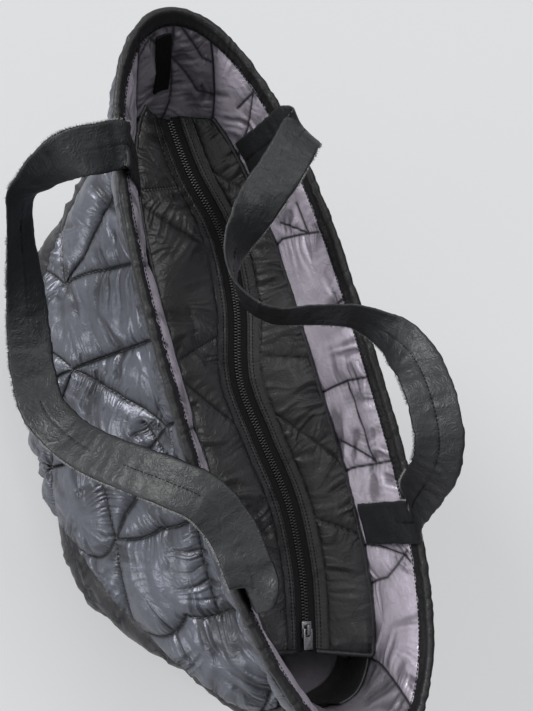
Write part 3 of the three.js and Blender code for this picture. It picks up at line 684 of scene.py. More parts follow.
def capsule():
    """A stitch: a low six-sided capsule along x, one unit long and one unit in radius."""
    points = []
    for x, radius in ((-0.42, 0.75), (0.0, 1.0), (0.42, 0.75)):
        for k in range(6):
            points.append((x, radius * math.cos(k * math.pi / 3), radius * math.sin(k * math.pi / 3)))
    faces = []
    for first in (0, 6):
        for k in range(6):
            here, after = first + k, first + (k + 1) % 6
            faces.append([here, after, after + 6, here + 6])
    first_tip, last_tip = len(points), len(points) + 1
    points += [(-0.5, 0, 0), (0.5, 0, 0)]
    faces += [[first_tip, (k + 1) % 6, k] for k in range(6)]
    faces += [[last_tip, 12 + k, 12 + (k + 1) % 6] for k in range(6)]
    return np.array(points, float), faces


CAPSULE_POINTS, CAPSULE_FACES = capsule()


def run_along(points):
    """The length of a run up to each of its points."""
    return np.concatenate([[0], np.cumsum(np.linalg.norm(np.diff(points, axis=0), axis=1))])


def on_run(at, run, values):
    """Values with three parts, read at places along a run."""
    return np.stack([np.interp(at, run, values[:, k]) for k in range(3)], -1)


def evenly(points, normals, pitch):
    """Places at even steps along a run, with the direction along it and the surface's normal."""
    run = run_along(points)
    count = max(2, int(run[-1] / pitch))
    at = (np.arange(count) + 0.5) * run[-1] / count
    ahead = on_run(at + 0.5, run, points) - on_run(at - 0.5, run, points)
    return on_run(at, run, points), unit(ahead), unit(on_run(at, run, normals))


def scattered(name, template, template_faces, here, ahead, side, top, size):
    """Copies of a small shape, joined in one mesh, each with its own three directions."""
    local = template[None, :, :] * np.asarray(size)
    points = here[:, None]
    for axis, direction in enumerate((ahead, side, top)):
        points = points + local[..., axis : axis + 1] * direction[:, None]
    count = len(template)
    faces = [[v + i * count for v in face] for i in range(len(here)) for face in template_faces]
    return new_piece(name, points.reshape(-1, 3), faces)


def stitching(name, runs):
    """Thread along runs of (points, normals): one small capsule for each stitch."""
    found = [evenly(points, normals, STITCH_PITCH) for points, normals in runs]
    here, ahead, up = (np.concatenate([f[k] for f in found]) for k in range(3))
    side = unit(np.cross(up, ahead))
    up = np.cross(ahead, side)
    size = (STITCH_LENGTH, STITCH_RADIUS, STITCH_RADIUS)
    piece = scattered(name, CAPSULE_POINTS, CAPSULE_FACES, here, ahead, side, up, size)
    piece.data.materials.append(thread)
    return piece


print("a stitch has", len(CAPSULE_FACES), "faces")

# %% [markdown]
# ## Panels
# The front panel is the one that shows best, so its lines are listed as shares along the panel
# and up the bag; the back repeats them mirrored. The end panels are darker, with fewer lines. Each
# panel stands for its plain solid in the frame.

# %% The quilting patterns
PANEL_LINES = {
    "long_far": [(0.32, 0.99), (0.20, 0.66), (0.13, 0.52), (0.0, 0.44)],
    "long_left": [(0.42, 0.98), (0.33, 0.61), (0.30, 0.49), (0.21, 0.27), (0.14, 0.0)],
    "far_double": [(0.13, 0.52), (0.0, 0.52)],
    "far_corner": [(0.13, 0.52), (0.14, 0.61), (0.10, 0.74), (0.11, 0.98)],
    "sweep": [(0.17, 0.40), (0.30, 0.49), (0.38, 0.58), (0.45, 0.67), (0.50, 0.72)],
    "far_foot": [(0.17, 0.40), (0.0, 0.24)],
    "hook": [(0.30, 0.49), (0.34, 0.40), (0.43, 0.32)],
    "spur": [(0.47, 0.66), (0.53, 0.69)],
    "middle": [(0.52, 0.98), (0.52, 0.84), (0.50, 0.72), (0.52, 0.63), (0.51, 0.40), (0.55, 0.27),
               (0.46, 0.0)],
    "pleat": [(0.52, 0.76), (0.56, 0.73)],
    "long_right": [(0.67, 0.98), (0.66, 0.73), (0.65, 0.62), (0.71, 0.47), (0.92, 0.32), (1.0, 0.26)],
    "band": [(0.54, 0.48), (0.62, 0.48), (0.71, 0.47), (0.81, 0.45), (1.0, 0.41)],
    "wedge": [(0.71, 0.47), (0.63, 0.53), (0.58, 0.59), (0.54, 0.70)],
    "foot": [(0.21, 0.27), (0.43, 0.32), (0.56, 0.26), (0.90, 0.20), (1.0, 0.19)],
    "low_wedge": [(0.56, 0.26), (0.32, 0.0)],
    "low_near": [(0.56, 0.26), (0.74, 0.0)],
    "near_long": [(0.77, 0.98), (0.82, 0.75), (0.81, 0.61), (1.0, 0.43)],
    "shoulder": [(0.66, 0.73), (0.73, 0.71), (0.82, 0.70)],
    "near_rim": [(0.78, 0.96), (0.82, 0.94), (0.86, 0.94), (1.0, 0.71)],
    "near_run": [(0.80, 0.87), (0.85, 0.85), (0.90, 0.82), (0.95, 0.76), (1.0, 0.66)],
}
SIDE_LINES = {
    "low": [(0.0, 0.2), (0.5, 0.26), (1.0, 0.2)],
    "middle": [(0.0, 0.5), (0.5, 0.44), (1.0, 0.5)],
    "upper": [(0.0, 0.74), (0.5, 0.68), (1.0, 0.74)],
    "slant": [(0.5, 0.26), (0.2, 0.47)],
    "slant_back": [(0.5, 0.26), (0.8, 0.47)],
}
LINING_LINES = {
    "far": [(0.09, 0.98), (0.09, 0.86), (0.05, 0.4)],
    "far_slant": [(0.06, 0.87), (0.09, 0.95), (0.12, 0.99)],
    "left": [(0.33, 0.99), (0.30, 0.91), (0.26, 0.80), (0.2, 0.3)],
    "left_spur": [(0.30, 0.91), (0.25, 0.91)],
    "left_slant": [(0.30, 0.91), (0.24, 0.82)],
    "short": [(0.42, 0.99), (0.42, 0.93)],
    "middle": [(0.54, 0.98), (0.53, 0.88), (0.53, 0.78), (0.5, 0.3)],
    "run": [(0.53, 0.88), (0.66, 0.89)],
    "right_slant": [(0.62, 0.78), (0.66, 0.90)],
    "right": [(0.66, 0.98), (0.67, 0.80), (0.72, 0.3)],
    "near_slant": [(0.77, 0.98), (0.85, 0.84), (0.92, 0.6)],
    "near": [(0.82, 0.99), (0.80, 0.93), (0.80, 0.82), (0.84, 0.4)],
    "cross": [(0.0, 0.45), (1.0, 0.45)],
}
FAR_LINING_LINES = {
    "tip": [(0.46, 0.98), (0.50, 0.88), (0.44, 0.74), (0.5, 0.4)],
    "tip_slant": [(0.50, 0.88), (0.20, 0.80), (0.0, 0.83)],
    "front_slant": [(0.50, 0.88), (0.80, 0.95), (1.0, 0.93)],
    "back_slant": [(0.46, 0.98), (0.14, 0.90), (0.0, 0.91)],
    "low": [(0.0, 0.5), (0.5, 0.44), (1.0, 0.5)],
}
SPANS = {
    "front": (side_share, lambda up: 1 - side_share(up)),
    "back": (lambda up: 1 + side_share(up), lambda up: 2 - side_share(up)),
    "far": (lambda up: -side_share(up), side_share),
    "near": (lambda up: 1 - side_share(up), lambda up: 1 + side_share(up)),
}
WALL_LOW = (BASE_THICKNESS + CLEAR) / HEIGHT
WALL_HIGH = 1 - (HEM_HEIGHT - 1.8) / HEIGHT  # the cloth runs up into the hem, which hides its edge
THREAD_LIFT = 0.25  # millimetres that the thread stands above its line


def mirrored(lines):
    """The same lines with the panel's two ends exchanged."""
    return {name: [(1 - share, up) for share, up in run] for name, run in lines.items()}


def on_wall(span, share, up):
    """t of a share along a panel at a share of the height."""
    start, end = (edge(up) for edge in SPANS[span])
    return start + (end - start) * share


def stitched_runs(lines, span, facing):
    """Points and normals along each stitched line, where it lies between the base and the hem."""
    runs = []
    for run in lines.values():
        share, up = dense(run).T
        between = (up > WALL_LOW) & (up < WALL_HIGH)
        share, up = share[between], up[between]
        t = on_wall(span, share, up)
        runs.append((wall(t, up), outward(t, up) * facing))
    return runs


def panel(name, span, lines, columns, rows, facing, offset, hidden, loft, reach, gather, seed,
          material, slot, bulges=()):
    """A quilted sheet of the wall: facing is 1 for the outside and -1 for the lining.

    A bulge is a place where the padding swells further: (share, up, half width, half height, mm).
    """
    share, up = np.meshgrid(np.linspace(0, 1, columns), np.linspace(WALL_LOW, WALL_HIGH, rows))
    t = on_wall(span, share, up)
    base, normal = wall(t, up), outward(t, up) * facing
    runs = stitched_runs(lines, span, facing)
    low_edge, high_edge = base[0, ::BORDER_STEP], base[-1, ::BORDER_STEP]
    ends = [(base[::BORDER_STEP, k], 1.0) for k in (0, -1)]
    border = [(low_edge, 0.3), (high_edge, 1.0)] + ends
    field = [(points, 1.0) for points, _ in runs] + border
    height, thread_and_painted_shade = quilted_heights(base, field, loft, reach, gather, seed)
    edge = np.minimum(1, np.minimum(share, 1 - share) * 12) * np.minimum(1, (WALL_HIGH - up) * 25)
    for middle_share, middle_up, half_width, half_height, swell in bulges:
        spread = ((share - middle_share) / half_width) ** 2 + ((up - middle_up) / half_height) ** 2
        height = height + swell * np.exp(-spread) * edge
    shown = base + normal * (offset + height)[..., None]
    back_face = base + normal * hidden
    if facing < 0:
        shown, back_face, thread_and_painted_shade = shown[:, ::-1], back_face[:, ::-1], thread_and_painted_shade[:, ::-1]
    piece = padded_sheet(name, shown, back_face)
    set_attribute(piece, "thread_and_painted_shade", thread_and_painted_shade)
    piece.data.materials.append(material)
    threads = [(points + normals * (offset + THREAD_LIFT), normals) for points, normals in runs]
    sewn = stitching(name + "_thread", threads)
    print(name, len(piece.data.polygons), "faces,", len(sewn.data.polygons), "in its thread")
    return piece


# %% Outer panels
SEAM_THICKNESS, LINING_THICKNESS = 2.5, 1.5
OUTER = dict(facing=1, offset=CLEAR / 2 + SEAM_THICKNESS, hidden=CLEAR / 2, reach=20.0, slot="outer_cloth")
ENDS = dict(OUTER, columns=97, rows=225, loft=8.0, gather=0.9, material=dark_cloth)
ENDS["slot"] = "dark_cloth"
BACK_BULGES = [(0.13, 0.88, 0.09, 0.12, 8.0), (0.27, 0.90, 0.07, 0.10, 5.0), (0.60, 0.91, 0.045, 0.09, 7.0)]
front_panel = panel("quilted_front", "front", PANEL_LINES, 601, 353, loft=9.5, gather=0.8, seed=11,
                    material=outer_cloth, **OUTER)
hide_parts("front_panel")
back_panel = panel("quilted_back", "back", mirrored(PANEL_LINES), 401, 225, loft=9.5, gather=0.75, seed=311,
                   material=outer_cloth, bulges=BACK_BULGES, **OUTER)
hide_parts("back_panel")
far_panel = panel("quilted_far_end", "far", SIDE_LINES, seed=611, **ENDS)
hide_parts("side_panel_far")
near_panel = panel("quilted_near_end", "near", SIDE_LINES, seed=911, **ENDS)
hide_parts("side_panel_near")

# %% Lining
INNER = dict(facing=-1, offset=CLEAR / 2 + LINING_THICKNESS, hidden=CLEAR / 2, loft=4.2, reach=13.0,
             material=lining_cloth, slot="lining_cloth")
# The lining at the two ends takes the darker tone, as painted shade.
PAINTED_SHADE_INNER = dict(INNER, material=painted_shade_lining_cloth)
lining_front = panel("quilted_lining_front", "front", LINING_LINES, 321, 181, gather=0.5, seed=1211, **INNER)
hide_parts("lining_front")
lining_back = panel("quilted_lining_back", "back", mirrored(LINING_LINES), 481, 265, gather=0.55,
                    seed=1511, **INNER)
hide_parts("lining_back")
lining_far = panel("quilted_lining_far", "far", FAR_LINING_LINES, 97, 241, gather=0.75, seed=1811, **PAINTED_SHADE_INNER)
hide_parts("lining_far")
lining_near = panel("quilted_lining_near", "near", SIDE_LINES, 97, 193, gather=0.7, seed=2111, **PAINTED_SHADE_INNER)
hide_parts("lining_near")

# %% [markdown]
# ## Hem
# A folded strip of the dark cloth closes the mouth. It is one tube round the whole mouth whose
# section is a flattened loop; along it the cloth twists a little and pulls into small folds where
# the stitches of its lower edge hold it.

# %% Hem
HEM_RINGS, HEM_SIDES = 1400, 26
HEM_WIDTH = 7.6
HEM_JOINT = 25.0


def hem():
    """One folded strip round the mouth, with small folds at its foot."""
    turns = np.linspace(0, 2, HEM_RINGS, endpoint=False)
    angle = np.linspace(0, 2 * math.pi, HEM_SIDES, endpoint=False)
    middle = 1 - HEM_HEIGHT / 2 / HEIGHT
    high, wide = HEM_HEIGHT / 2 - 0.2, HEM_WIDTH / 2
    up_part = np.sign(np.sin(angle)) * np.abs(np.sin(angle)) ** 0.8 * high
    out_part = np.sign(np.cos(angle)) * np.abs(np.cos(angle)) ** 0.7 * wide
    length = (turns * half_length(1.0))[:, None]
    from_joint = np.minimum(length, length[-1] - length)
    whole = eased(from_joint / HEM_JOINT)  # the folds die out where the loop closes, so its ends meet
    ripple = noise_1d(length / 6.0 + 0.2 * angle, 31) + 0.6 * noise_1d(length / 2.9 + 0.3 * angle, 34)
    ripple = ripple * whole
    twist = 0.16 * noise_1d(length / 34.0, 32) * whole
    foot = eased(-up_part / high + 0.3)
    pull = np.abs(noise_1d(length / 2.1 + 0.2 * angle, 33)) * foot
    fold = 0.9 * np.exp(-(((up_part - 1.0) / 1.3) ** 2)) * (np.abs(out_part) > 0.5 * wide)
    out = out_part * (1 + 0.14 * ripple + 0.30 * pull) - np.sign(out_part) * fold
    rise = up_part * (1 + 0.06 * ripple) + out * twist
    ups_here = np.minimum(middle + rise / HEIGHT, 1.0)
    t = np.broadcast_to(turns[:, None], out.shape)
    rings = wall(t, ups_here) + outward(t, ups_here) * (out - rise * twist)[..., None]
    piece = tube("hem_fold", rings, looped=True)
    piece.data.materials.append(hem_cloth)
    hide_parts("rim_binding")
    return piece


hem_fold = hem()
hem_turns = np.linspace(0, 2, 700)
hem_foot = np.full_like(hem_turns, 1 - (HEM_HEIGHT - 2.2) / HEIGHT)
hem_runs = []
for out in (HEM_WIDTH / 2 + 0.4, -HEM_WIDTH / 2 - 0.4):
    hem_runs.append((place(hem_turns, hem_foot, out), outward(hem_turns, hem_foot) * np.sign(out)))
stitching("hem_thread", hem_runs)
print("hem:", len(hem_fold.data.polygons), "faces")

# %% [markdown]
# ## Base
# The floor of the bag hardly shows. It is a shallow tray of the dark cloth with a rounded edge.

# %% Base
BASE_SECTION = [(60, 0.0), (8, 0.0), (3, 0.06), (1, 0.22), (0, 0.5), (0.8, 0.86), (3, 1.0), (60, 1.0)]


def base():
    """A closed tray through rings inside the foot of the walls."""
    turns = np.linspace(0, 2, 400, endpoint=False)
    foot = wall(turns, WALL_LOW)
    level_out = outward(turns, np.full_like(turns, WALL_LOW)) * np.array([1, 1, 0])
    rings = []
    for inset, rise in BASE_SECTION:
        ring = foot + unit(level_out) * (SEAM_THICKNESS - inset)
        ring[:, 2] = rise * BASE_THICKNESS
        rings.append(ring)
    piece = tube("base_tray", np.array(rings))
    piece.data.materials.append(dark_cloth)
    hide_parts("base_panel")
    return piece


base_tray = base()
print("base:", len(base_tray.data.polygons), "faces")

# %% [markdown]
# ## Flaps and zip
# Two padded flaps close the mouth a hand's breadth below the hem. Each is a strip between the wall
# and the zip: a flat stitched band beside the zip, quilted pillows, and a corded edge at the wall.

# %% The zip's line
FLAP_LEVEL, ZIP_LEVEL = 240.0, 225.0
ZIP_FAR, ZIP_NEAR = -243.0, 228.0
FLAP_NEAR_FRONT, FLAP_NEAR_BACK = 215.0, 253.0
FLAP_FAR_FRONT, FLAP_FAR_BACK = 0.05, 0.09
LINING_FACE = CLEAR / 2 + LINING_THICKNESS + 4.0 + CLEAR
ZIP_TAPE_SHOW, CHAIN_WIDTH, CHAIN_HEIGHT = 9.0, 6.2, 2.6
ZIP_LINE = {
    "along": (-0.85, -0.65, -0.45, -0.23, -0.02, 0.15, 0.36, 0.55, 0.7, 0.79),
    "across": (0.12, 0.17, 0.31, 0.25, 0.06, 0.1, 0.18, 0.12, -0.01, -0.11),
}


def zip_point(x):
    """Places on the zip's line, which wanders across the mouth."""
    x = np.asarray(x, float)
    across = smooth(ZIP_LINE["along"], ZIP_LINE["across"], x / (MOUTH_LENGTH / 2))
    return np.stack([x, MOUTH_LEAN + across * MOUTH_DEPTH / 2, np.full_like(x, ZIP_LEVEL)], -1)


def zip_side(x):
    """The level direction across the zip, towards the back."""
    ahead = unit(zip_point(np.asarray(x) + 1.0) - zip_point(np.asarray(x) - 1.0))
    return np.stack([-ahead[..., 1], ahead[..., 0], np.zeros_like(ahead[..., 0])], -1)


def beside(x, across, rise):
    """Places beside the zip's line."""
    point = zip_point(x) + zip_side(x) * np.asarray(across)[..., None]
    point[..., 2] += rise
    return point


def share_at(x, up, side):
    """t of the front (side -1) or back (side 1) at which the outline has this x."""
    candidates = np.linspace(0, 1, TABLE_HALF + 1)
    xs = wall(candidates, np.full_like(candidates, up))[:, 0]
    found = float(np.interp(x, xs, candidates))
    return found if side < 0 else 2 - found


print("the zip is", round(ZIP_NEAR - ZIP_FAR), "mm long")

# %% Flaps
FLAP_LINES = {
    -1: [[(0.17, 0), (0.13, 1)], [(0.19, 0), (0.27, 1)], [(0.48, 0), (0.42, 1)], [(0.51, 0), (0.60, 1)],
         [(0.82, 0), (0.76, 1)]],
    1: [[(0.16, 0), (0.10, 1)], [(0.47, 0), (0.46, 1)], [(0.66, 0), (0.56, 1)], [(0.79, 0), (0.77, 1)]],
}
FLAP_COLUMNS, FLAP_ROWS = 441, 77
BAND_WIDTH = 11.0
FLAP_SEAM = 2.4
FLAP_LOFT, FLAP_REACH, FLAP_GATHER = 4.6, 15.0, 0.8
CORD_RADIUS, CORD_SIDES = 2.3, 14


def flap_point(side, share, row):
    """A place on a flap: share from its far end to its near end, row from the wall to the zip."""
    up = FLAP_LEVEL / HEIGHT
    near_t = share_at(FLAP_NEAR_FRONT if side < 0 else FLAP_NEAR_BACK, up, side)
    far_t = FLAP_FAR_FRONT if side < 0 else 2 - FLAP_FAR_BACK
    wall_t = far_t + (near_t - far_t) * share
    zip_x = ZIP_FAR + (ZIP_NEAR - ZIP_FAR) * share
    edge = place(wall_t, np.full_like(share, up), np.full_like(share, -LINING_FACE - CLEAR))
    inner = beside(zip_x, np.full_like(share, side * ZIP_TAPE_SHOW), 0.0)
    return edge * (1 - row[..., None]) + inner * row[..., None]


def flap(name, side, seed):
    """A quilted flap with its thread and its corded edge; side is -1 for the front and 1 for the back."""
    share, row = np.meshgrid(np.linspace(0, 1, FLAP_COLUMNS), np.linspace(0, 1, FLAP_ROWS))
    base_points = flap_point(side, share, row)
    width = np.linalg.norm(base_points[-1] - base_points[0], axis=-1)
    band_row = np.clip(1 - BAND_WIDTH / width, 0.2, 1)
    across = np.linspace(0, 1, FLAP_COLUMNS)
    band_line = flap_point(side, across, band_row)
    lines, thread_rows = [(band_line, 0.8)], [band_line]
    for run in FLAP_LINES[side]:
        (s0, r0), (s1, r1) = run
        s = np.linspace(s0, s1, 40)
        limit = np.interp(s, across, band_row)
        line = flap_point(side, s, np.minimum(np.linspace(r0 + 0.03, r1, 40), limit))
        lines.append((line, 0.8))
        thread_rows.append(line)
    border = (base_points[0], base_points[:, 0], base_points[:, -1])
    lines += [(line[::BORDER_STEP], 0.9) for line in border]
    height, thread_and_painted_shade = quilted_heights(base_points, lines, FLAP_LOFT, FLAP_REACH, FLAP_GATHER, seed)
    in_band = eased((row * width - (width - BAND_WIDTH)) / 1.5)
    ribs = 0.35 * np.sin((1 - row) * width / BAND_WIDTH * 2 * math.pi * 1.5)
    height = height * (1 - in_band) + (0.6 + ribs * 0.5) * in_band
    up = np.array([0, 0, 1.0])
    shown = base_points + up * (FLAP_SEAM / 2 + np.maximum(height, -0.6))[..., None]
    hidden = base_points - up * FLAP_SEAM / 2
    if side > 0:
        shown, hidden, thread_and_painted_shade = shown[::-1], hidden[::-1], thread_and_painted_shade[::-1]
    piece = turned_out(padded_sheet(name, shown, hidden))
    set_attribute(piece, "thread_and_painted_shade", thread_and_painted_shade)
    # The flap's tone carries painted light on the front flap and painted shade on the back one.
    piece.data.materials.append(flap_painted_light_shade_cloth[side])
    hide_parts("flap_front" if side < 0 else "flap_back")
    rows_of_thread = []
    for line in thread_rows:
        rows_of_thread.append((line + up * (FLAP_SEAM / 2 + 0.3), np.broadcast_to(up, line.shape)))
    for inset in (1.6, 4.6):
        line = flap_point(side, across, 1 - inset / width)
        rows_of_thread.append((line + up * (FLAP_SEAM / 2 + 0.9), np.broadcast_to(up, line.shape)))
    stitching(name + "_thread", rows_of_thread)
    edge = flap_point(side, np.linspace(0.0, 1.0, 500), np.full(500, CORD_RADIUS / 60))
    end = flap_point(side, np.ones(80), np.linspace(CORD_RADIUS / 60, 1.0, 80))
    cording(name + "_cord", np.concatenate([edge, end[1:]]) + up * (CORD_RADIUS - 0.6), CORD_RADIUS, seed + 5)
    return piece


def cording(name, path, radius, seed):
    """A cloth covered cord along a path, slightly lumpy, with the covering's folds."""
    run = run_along(path)
    at = np.arange(0, run[-1], 1.0)
    centre = on_run(at, run, path)
    for _ in range(4):
        centre[1:-1] = (centre[:-2] + 2 * centre[1:-1] + centre[2:]) / 4
    ahead = unit(np.gradient(centre, axis=0))
    side = unit(np.cross(np.broadcast_to([0, 0, 1.0], ahead.shape), ahead))
    top = np.cross(ahead, side)
    angle = np.linspace(0, 2 * math.pi, CORD_SIDES, endpoint=False)
    swell = 1 + 0.10 * noise_1d(at[:, None] / 5.0 + 0.3 * angle, seed)
    swell = swell + 0.08 * noise_1d(at[:, None] / 2.2 + angle, seed + 1)
    offset = side[:, None] * np.cos(angle)[None, :, None] + top[:, None] * np.sin(angle)[None, :, None]
    piece = tube(name, centre[:, None] + offset * (radius * swell)[..., None])
    piece.data.materials.append(dark_cloth)
    return piece


flap_front = flap("padded_flap_front", -1, 2411)
flap_back = flap("padded_flap_back", 1, 2711)
print("flaps:", len(flap_front.data.polygons), len(flap_back.data.polygons), "faces")

# %% [markdown]
# ## Zip tapes and teeth
# The tapes are two narrow woven strips. A moulded tooth is one small block with rounded edges; it is
# modelled once from a cube, bevelled, and copied down both sides, half a pitch out of step.

# %% Zip
TOOTH_PITCH, TOOTH_LENGTH, TOOTH_MARGIN = 2.5, 1.55, 4.0
TAPE_THICKNESS = 1.2
SLIDER_PLACE, SLIDER_LENGTH = 211.0, 13.0


def zip_tape(name, side, node):
    """A ribbed strip on one side of the zip's line."""
    xs = np.linspace(ZIP_FAR, ZIP_NEAR, 300)
    across = np.linspace(CHAIN_WIDTH / 2 - 0.6, ZIP_TAPE_SHOW + 1.5, 9)
    grid_x, grid_a = np.meshgrid(xs, across)
    rib = 0.12 * np.sin(grid_a * 2 * math.pi / 1.6)
    shown = beside(grid_x, side * grid_a, 0.0)
    hidden = shown.copy()
    shown[..., 2] += TAPE_THICKNESS / 2 + rib
    hidden[..., 2] -= TAPE_THICKNESS / 2
    piece = turned_out(padded_sheet(name, shown, hidden, step=1))
    piece.data.materials.append(tape_cloth)
    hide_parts(node)
    return piece


def tooth():
    """A zip tooth: a cube one unit wide with its edges rounded."""
    bpy.ops.object.select_all(action="DESELECT")
    bpy.ops.mesh.primitive_cube_add(size=1.0)
    bpy.ops.object.mode_set(mode="EDIT")
    bpy.ops.mesh.bevel(offset=0.14, segments=2, profile=0.6)
    bpy.ops.object.mode_set(mode="OBJECT")
    made = bpy.context.object
    points = np.array([v.co for v in made.data.vertices])
    faces = [list(p.vertices) for p in made.data.polygons]
    bpy.data.objects.remove(made)
    return points, faces


def zip_teeth():
    """Two rows of teeth from the far end of the zip to its slider."""
    template, faces = tooth()
    last = SLIDER_PLACE + SLIDER_LENGTH / 2 - TOOTH_MARGIN
    xs = np.arange(ZIP_FAR + TOOTH_MARGIN, last, TOOTH_PITCH)
    spots = np.concatenate([xs, xs + TOOTH_PITCH / 2])
    sides = np.concatenate([np.ones(len(xs)), -np.ones(len(xs))])
    here = beside(spots, sides * CHAIN_WIDTH / 4 * 0.95, 0.3)
    side = zip_side(spots)
    top = np.broadcast_to([0, 0, 1.0], side.shape)
    ahead = np.cross(side, top)
    size = (TOOTH_LENGTH, CHAIN_WIDTH / 2 * 1.12, CHAIN_HEIGHT)
    piece = scattered("zip_teeth", template, faces, here, ahead, side, top, size)
    piece.data.materials.append(tooth_plastic)
    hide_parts("zip_chain")
    return piece


zip_tape("tape_strip_front", -1, "zip_tape_front")
zip_tape("tape_strip_back", 1, "zip_tape_back")
teeth = zip_teeth()
print("teeth:", len(teeth.data.polygons), "faces")

# %% Slider and pull


def softened(node, name, width, material, body):
    """A copy of a hard node with rounded edges, which stands for it."""
    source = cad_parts[node]
    piece = bpy.data.objects.new(name, source.data.copy())
    bpy.context.scene.collection.objects.link(piece)
    bpy.ops.object.select_all(action="DESELECT")
    piece.select_set(True)
    bpy.context.view_layer.objects.active = piece
    bpy.ops.object.mode_set(mode="EDIT")
    bpy.ops.mesh.select_all(action="SELECT")
    bpy.ops.mesh.remove_doubles(threshold=1e-5)
    bpy.ops.mesh.dissolve_limited(angle_limit=math.radians(2))
    bpy.ops.object.mode_set(mode="OBJECT")
    edge = piece.modifiers.new("edge", "BEVEL")
    edge.width = width
    edge.segments = 3
    edge.limit_method = "ANGLE"
    bpy.ops.object.modifier_apply(modifier=edge.name)
    piece.data.materials.clear()
    piece.data.materials.append(material)
    bpy.ops.object.shade_smooth_by_angle(angle=math.radians(40))
    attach(piece, body)
    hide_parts(node)
    return piece


slider = softened("zip_slider", "slider_body", 0.0004, dark_metal, "bag")
pull_tab = softened("zip_pull", "pull_tab", 0.0005, dark_metal, "pull")
print("slider:", len(slider.data.polygons), "faces, pull:", len(pull_tab.data.polygons))

# %% [markdown]
# ## Straps
# Each strap is the dark cloth folded to a flat band. Its route is a short list of places with the
# direction of its width, and a smooth curve runs through them. Across the band, the cloth dips at
# the stitched line down its middle and rolls over at its edges; one edge is worn to pale fibres.

# %% Strap routes
HANDLE_WIDTH, HANDLE_THICKNESS = 35.0, 2.4
HANDLE_BOW = {-1: 0.05, 1: 0.6}
OVER_RIM = 4.0
CURVE_STEPS = 16
SEWN_UPS = (0.8, 0.86, 0.92, 0.96, 1.0)
SEWN_FAR, SEWN_NEAR = -0.635, 0.485
FRONT_ROUTE = [
    (-0.634, -0.44, 1.027, -12, -10), (-0.632, -0.57, 1.034, -8, -16), (-0.626, -0.712, 1.039, -6, -23),
    (-0.63, -0.85, 1.024, 0, -34), (-0.63, -0.983, 0.974, 22, -54), (-0.62, -1.119, 0.903, 51, -71),
    (-0.603, -1.22, 0.832, 85, -63), (-0.535, -1.254, 0.748, 97, -45), (-0.434, -1.277, 0.69, 90, -25),
    (-0.303, -1.34, 0.658, 84, -6), (-0.182, -1.405, 0.652, 82, 6), (-0.094, -1.415, 0.665, 88, 10),
    (-0.017, -1.34, 0.71, 109, 12), (0.061, -1.22, 0.815, 127, 11), (0.125, -1.04, 0.916, 134, 10),
    (0.185, -0.84, 0.995, 134, 11), (0.242, -0.66, 1.037, 124, 14), (0.31, -0.55, 1.045, 99, 20),
    (0.36, -0.51, 1.05, 80, 22), (0.422, -0.5, 1.057, 56, 18), (0.478, -0.49, 1.052, 24, 6),
]
BACK_ROUTE = [
    (-0.599, 1.164, 1.071, 33, 3), (-0.569, 1.04, 1.09, 40, 8), (-0.495, 0.78, 1.09, 51, 14),
    (-0.448, 0.6, 1.077, 54, 10), (-0.394, 0.418, 1.058, 71, -9), (-0.34, 0.26, 1.039, 81, -30),
    (-0.29, 0.18, 1.026, 90, -50), (-0.235, 0.17, 1.019, 92, -66), (-0.18, 0.24, 1.026, 72, -74),
    (-0.138, 0.384, 1.045, 52, -73), (-0.108, 0.757, 1.071, 43, -65), (-0.077, 1.03, 1.103, 28, -68),
    (-0.015, 1.19, 1.148, -30, -70), (0.055, 1.21, 1.206, -95, -52), (0.152, 1.13, 1.262, -117, -36),
    (0.268, 1.085, 1.262, -124, -35), (0.335, 1.085, 1.213, -141, -30), (0.382, 1.09, 1.142, -158, -24),
    (0.428, 1.12, 1.068, -176, -13),
]


def sewn_end(along, sense, side):
    """The rows of a strap's end, which lies on the lining below the hem."""
    places, widths = [], []
    for up in SEWN_UPS:
        t = share_at(along * MOUTH_LENGTH / 2, up, side)
        inset = -LINING_FACE - HANDLE_BOW[side] - HANDLE_THICKNESS / 2
        lifted = OVER_RIM if up == 1.0 else 0.0
        places.append(place(t, up, inset) + np.array([0, 0, lifted]))
        widths.append(unit(wall(t + 0.006, up) - wall(t - 0.006, up)) * sense)
    return places, widths


def route_rows(route, side):
    """A strap's places and the directions of its width, from one sewn end to the other."""
    places, widths = sewn_end(SEWN_FAR, -side, side)
    for along, out, rise, turn, tip in route:
        turn, tip = math.radians(turn), math.radians(tip)
        places.append(np.array([along * MOUTH_LENGTH / 2, out * MOUTH_DEPTH / 2, rise * HEIGHT]))
        flat = math.cos(tip)
        widths.append(np.array([flat * math.cos(turn), flat * math.sin(turn), math.sin(tip)]))
    end_places, end_widths = sewn_end(SEWN_NEAR, 1, side)
    return np.array(places + end_places[::-1]), np.array(widths + end_widths[::-1])


def curve_through(places, steps):
    """A centripetal curve through places, with the same number of steps between each two."""
    wide = np.concatenate([[2 * places[0] - places[1]], places, [2 * places[-1] - places[-2]]])
    points = []
    for i in range(len(places) - 1):
        p0, p1, p2, p3 = wide[i : i + 4]
        d0, d1, d2 = (np.linalg.norm(b - a) ** 0.5 for a, b in ((p0, p1), (p1, p2), (p2, p3)))
        m1 = ((p1 - p0) / d0 - (p2 - p0) / (d0 + d1) + (p2 - p1) / d1) * d1
        m2 = ((p2 - p1) / d1 - (p3 - p1) / (d1 + d2) + (p3 - p2) / d2) * d1
        s = np.linspace(0, 1, steps, endpoint=False)[:, None]
        cubic = p1 + m1 * s + (-3 * p1 + 3 * p2 - 2 * m1 - m2) * s**2 + (2 * p1 - 2 * p2 + m1 + m2) * s**3
        points.append(cubic)
    return np.concatenate(points + [places[-1:]])


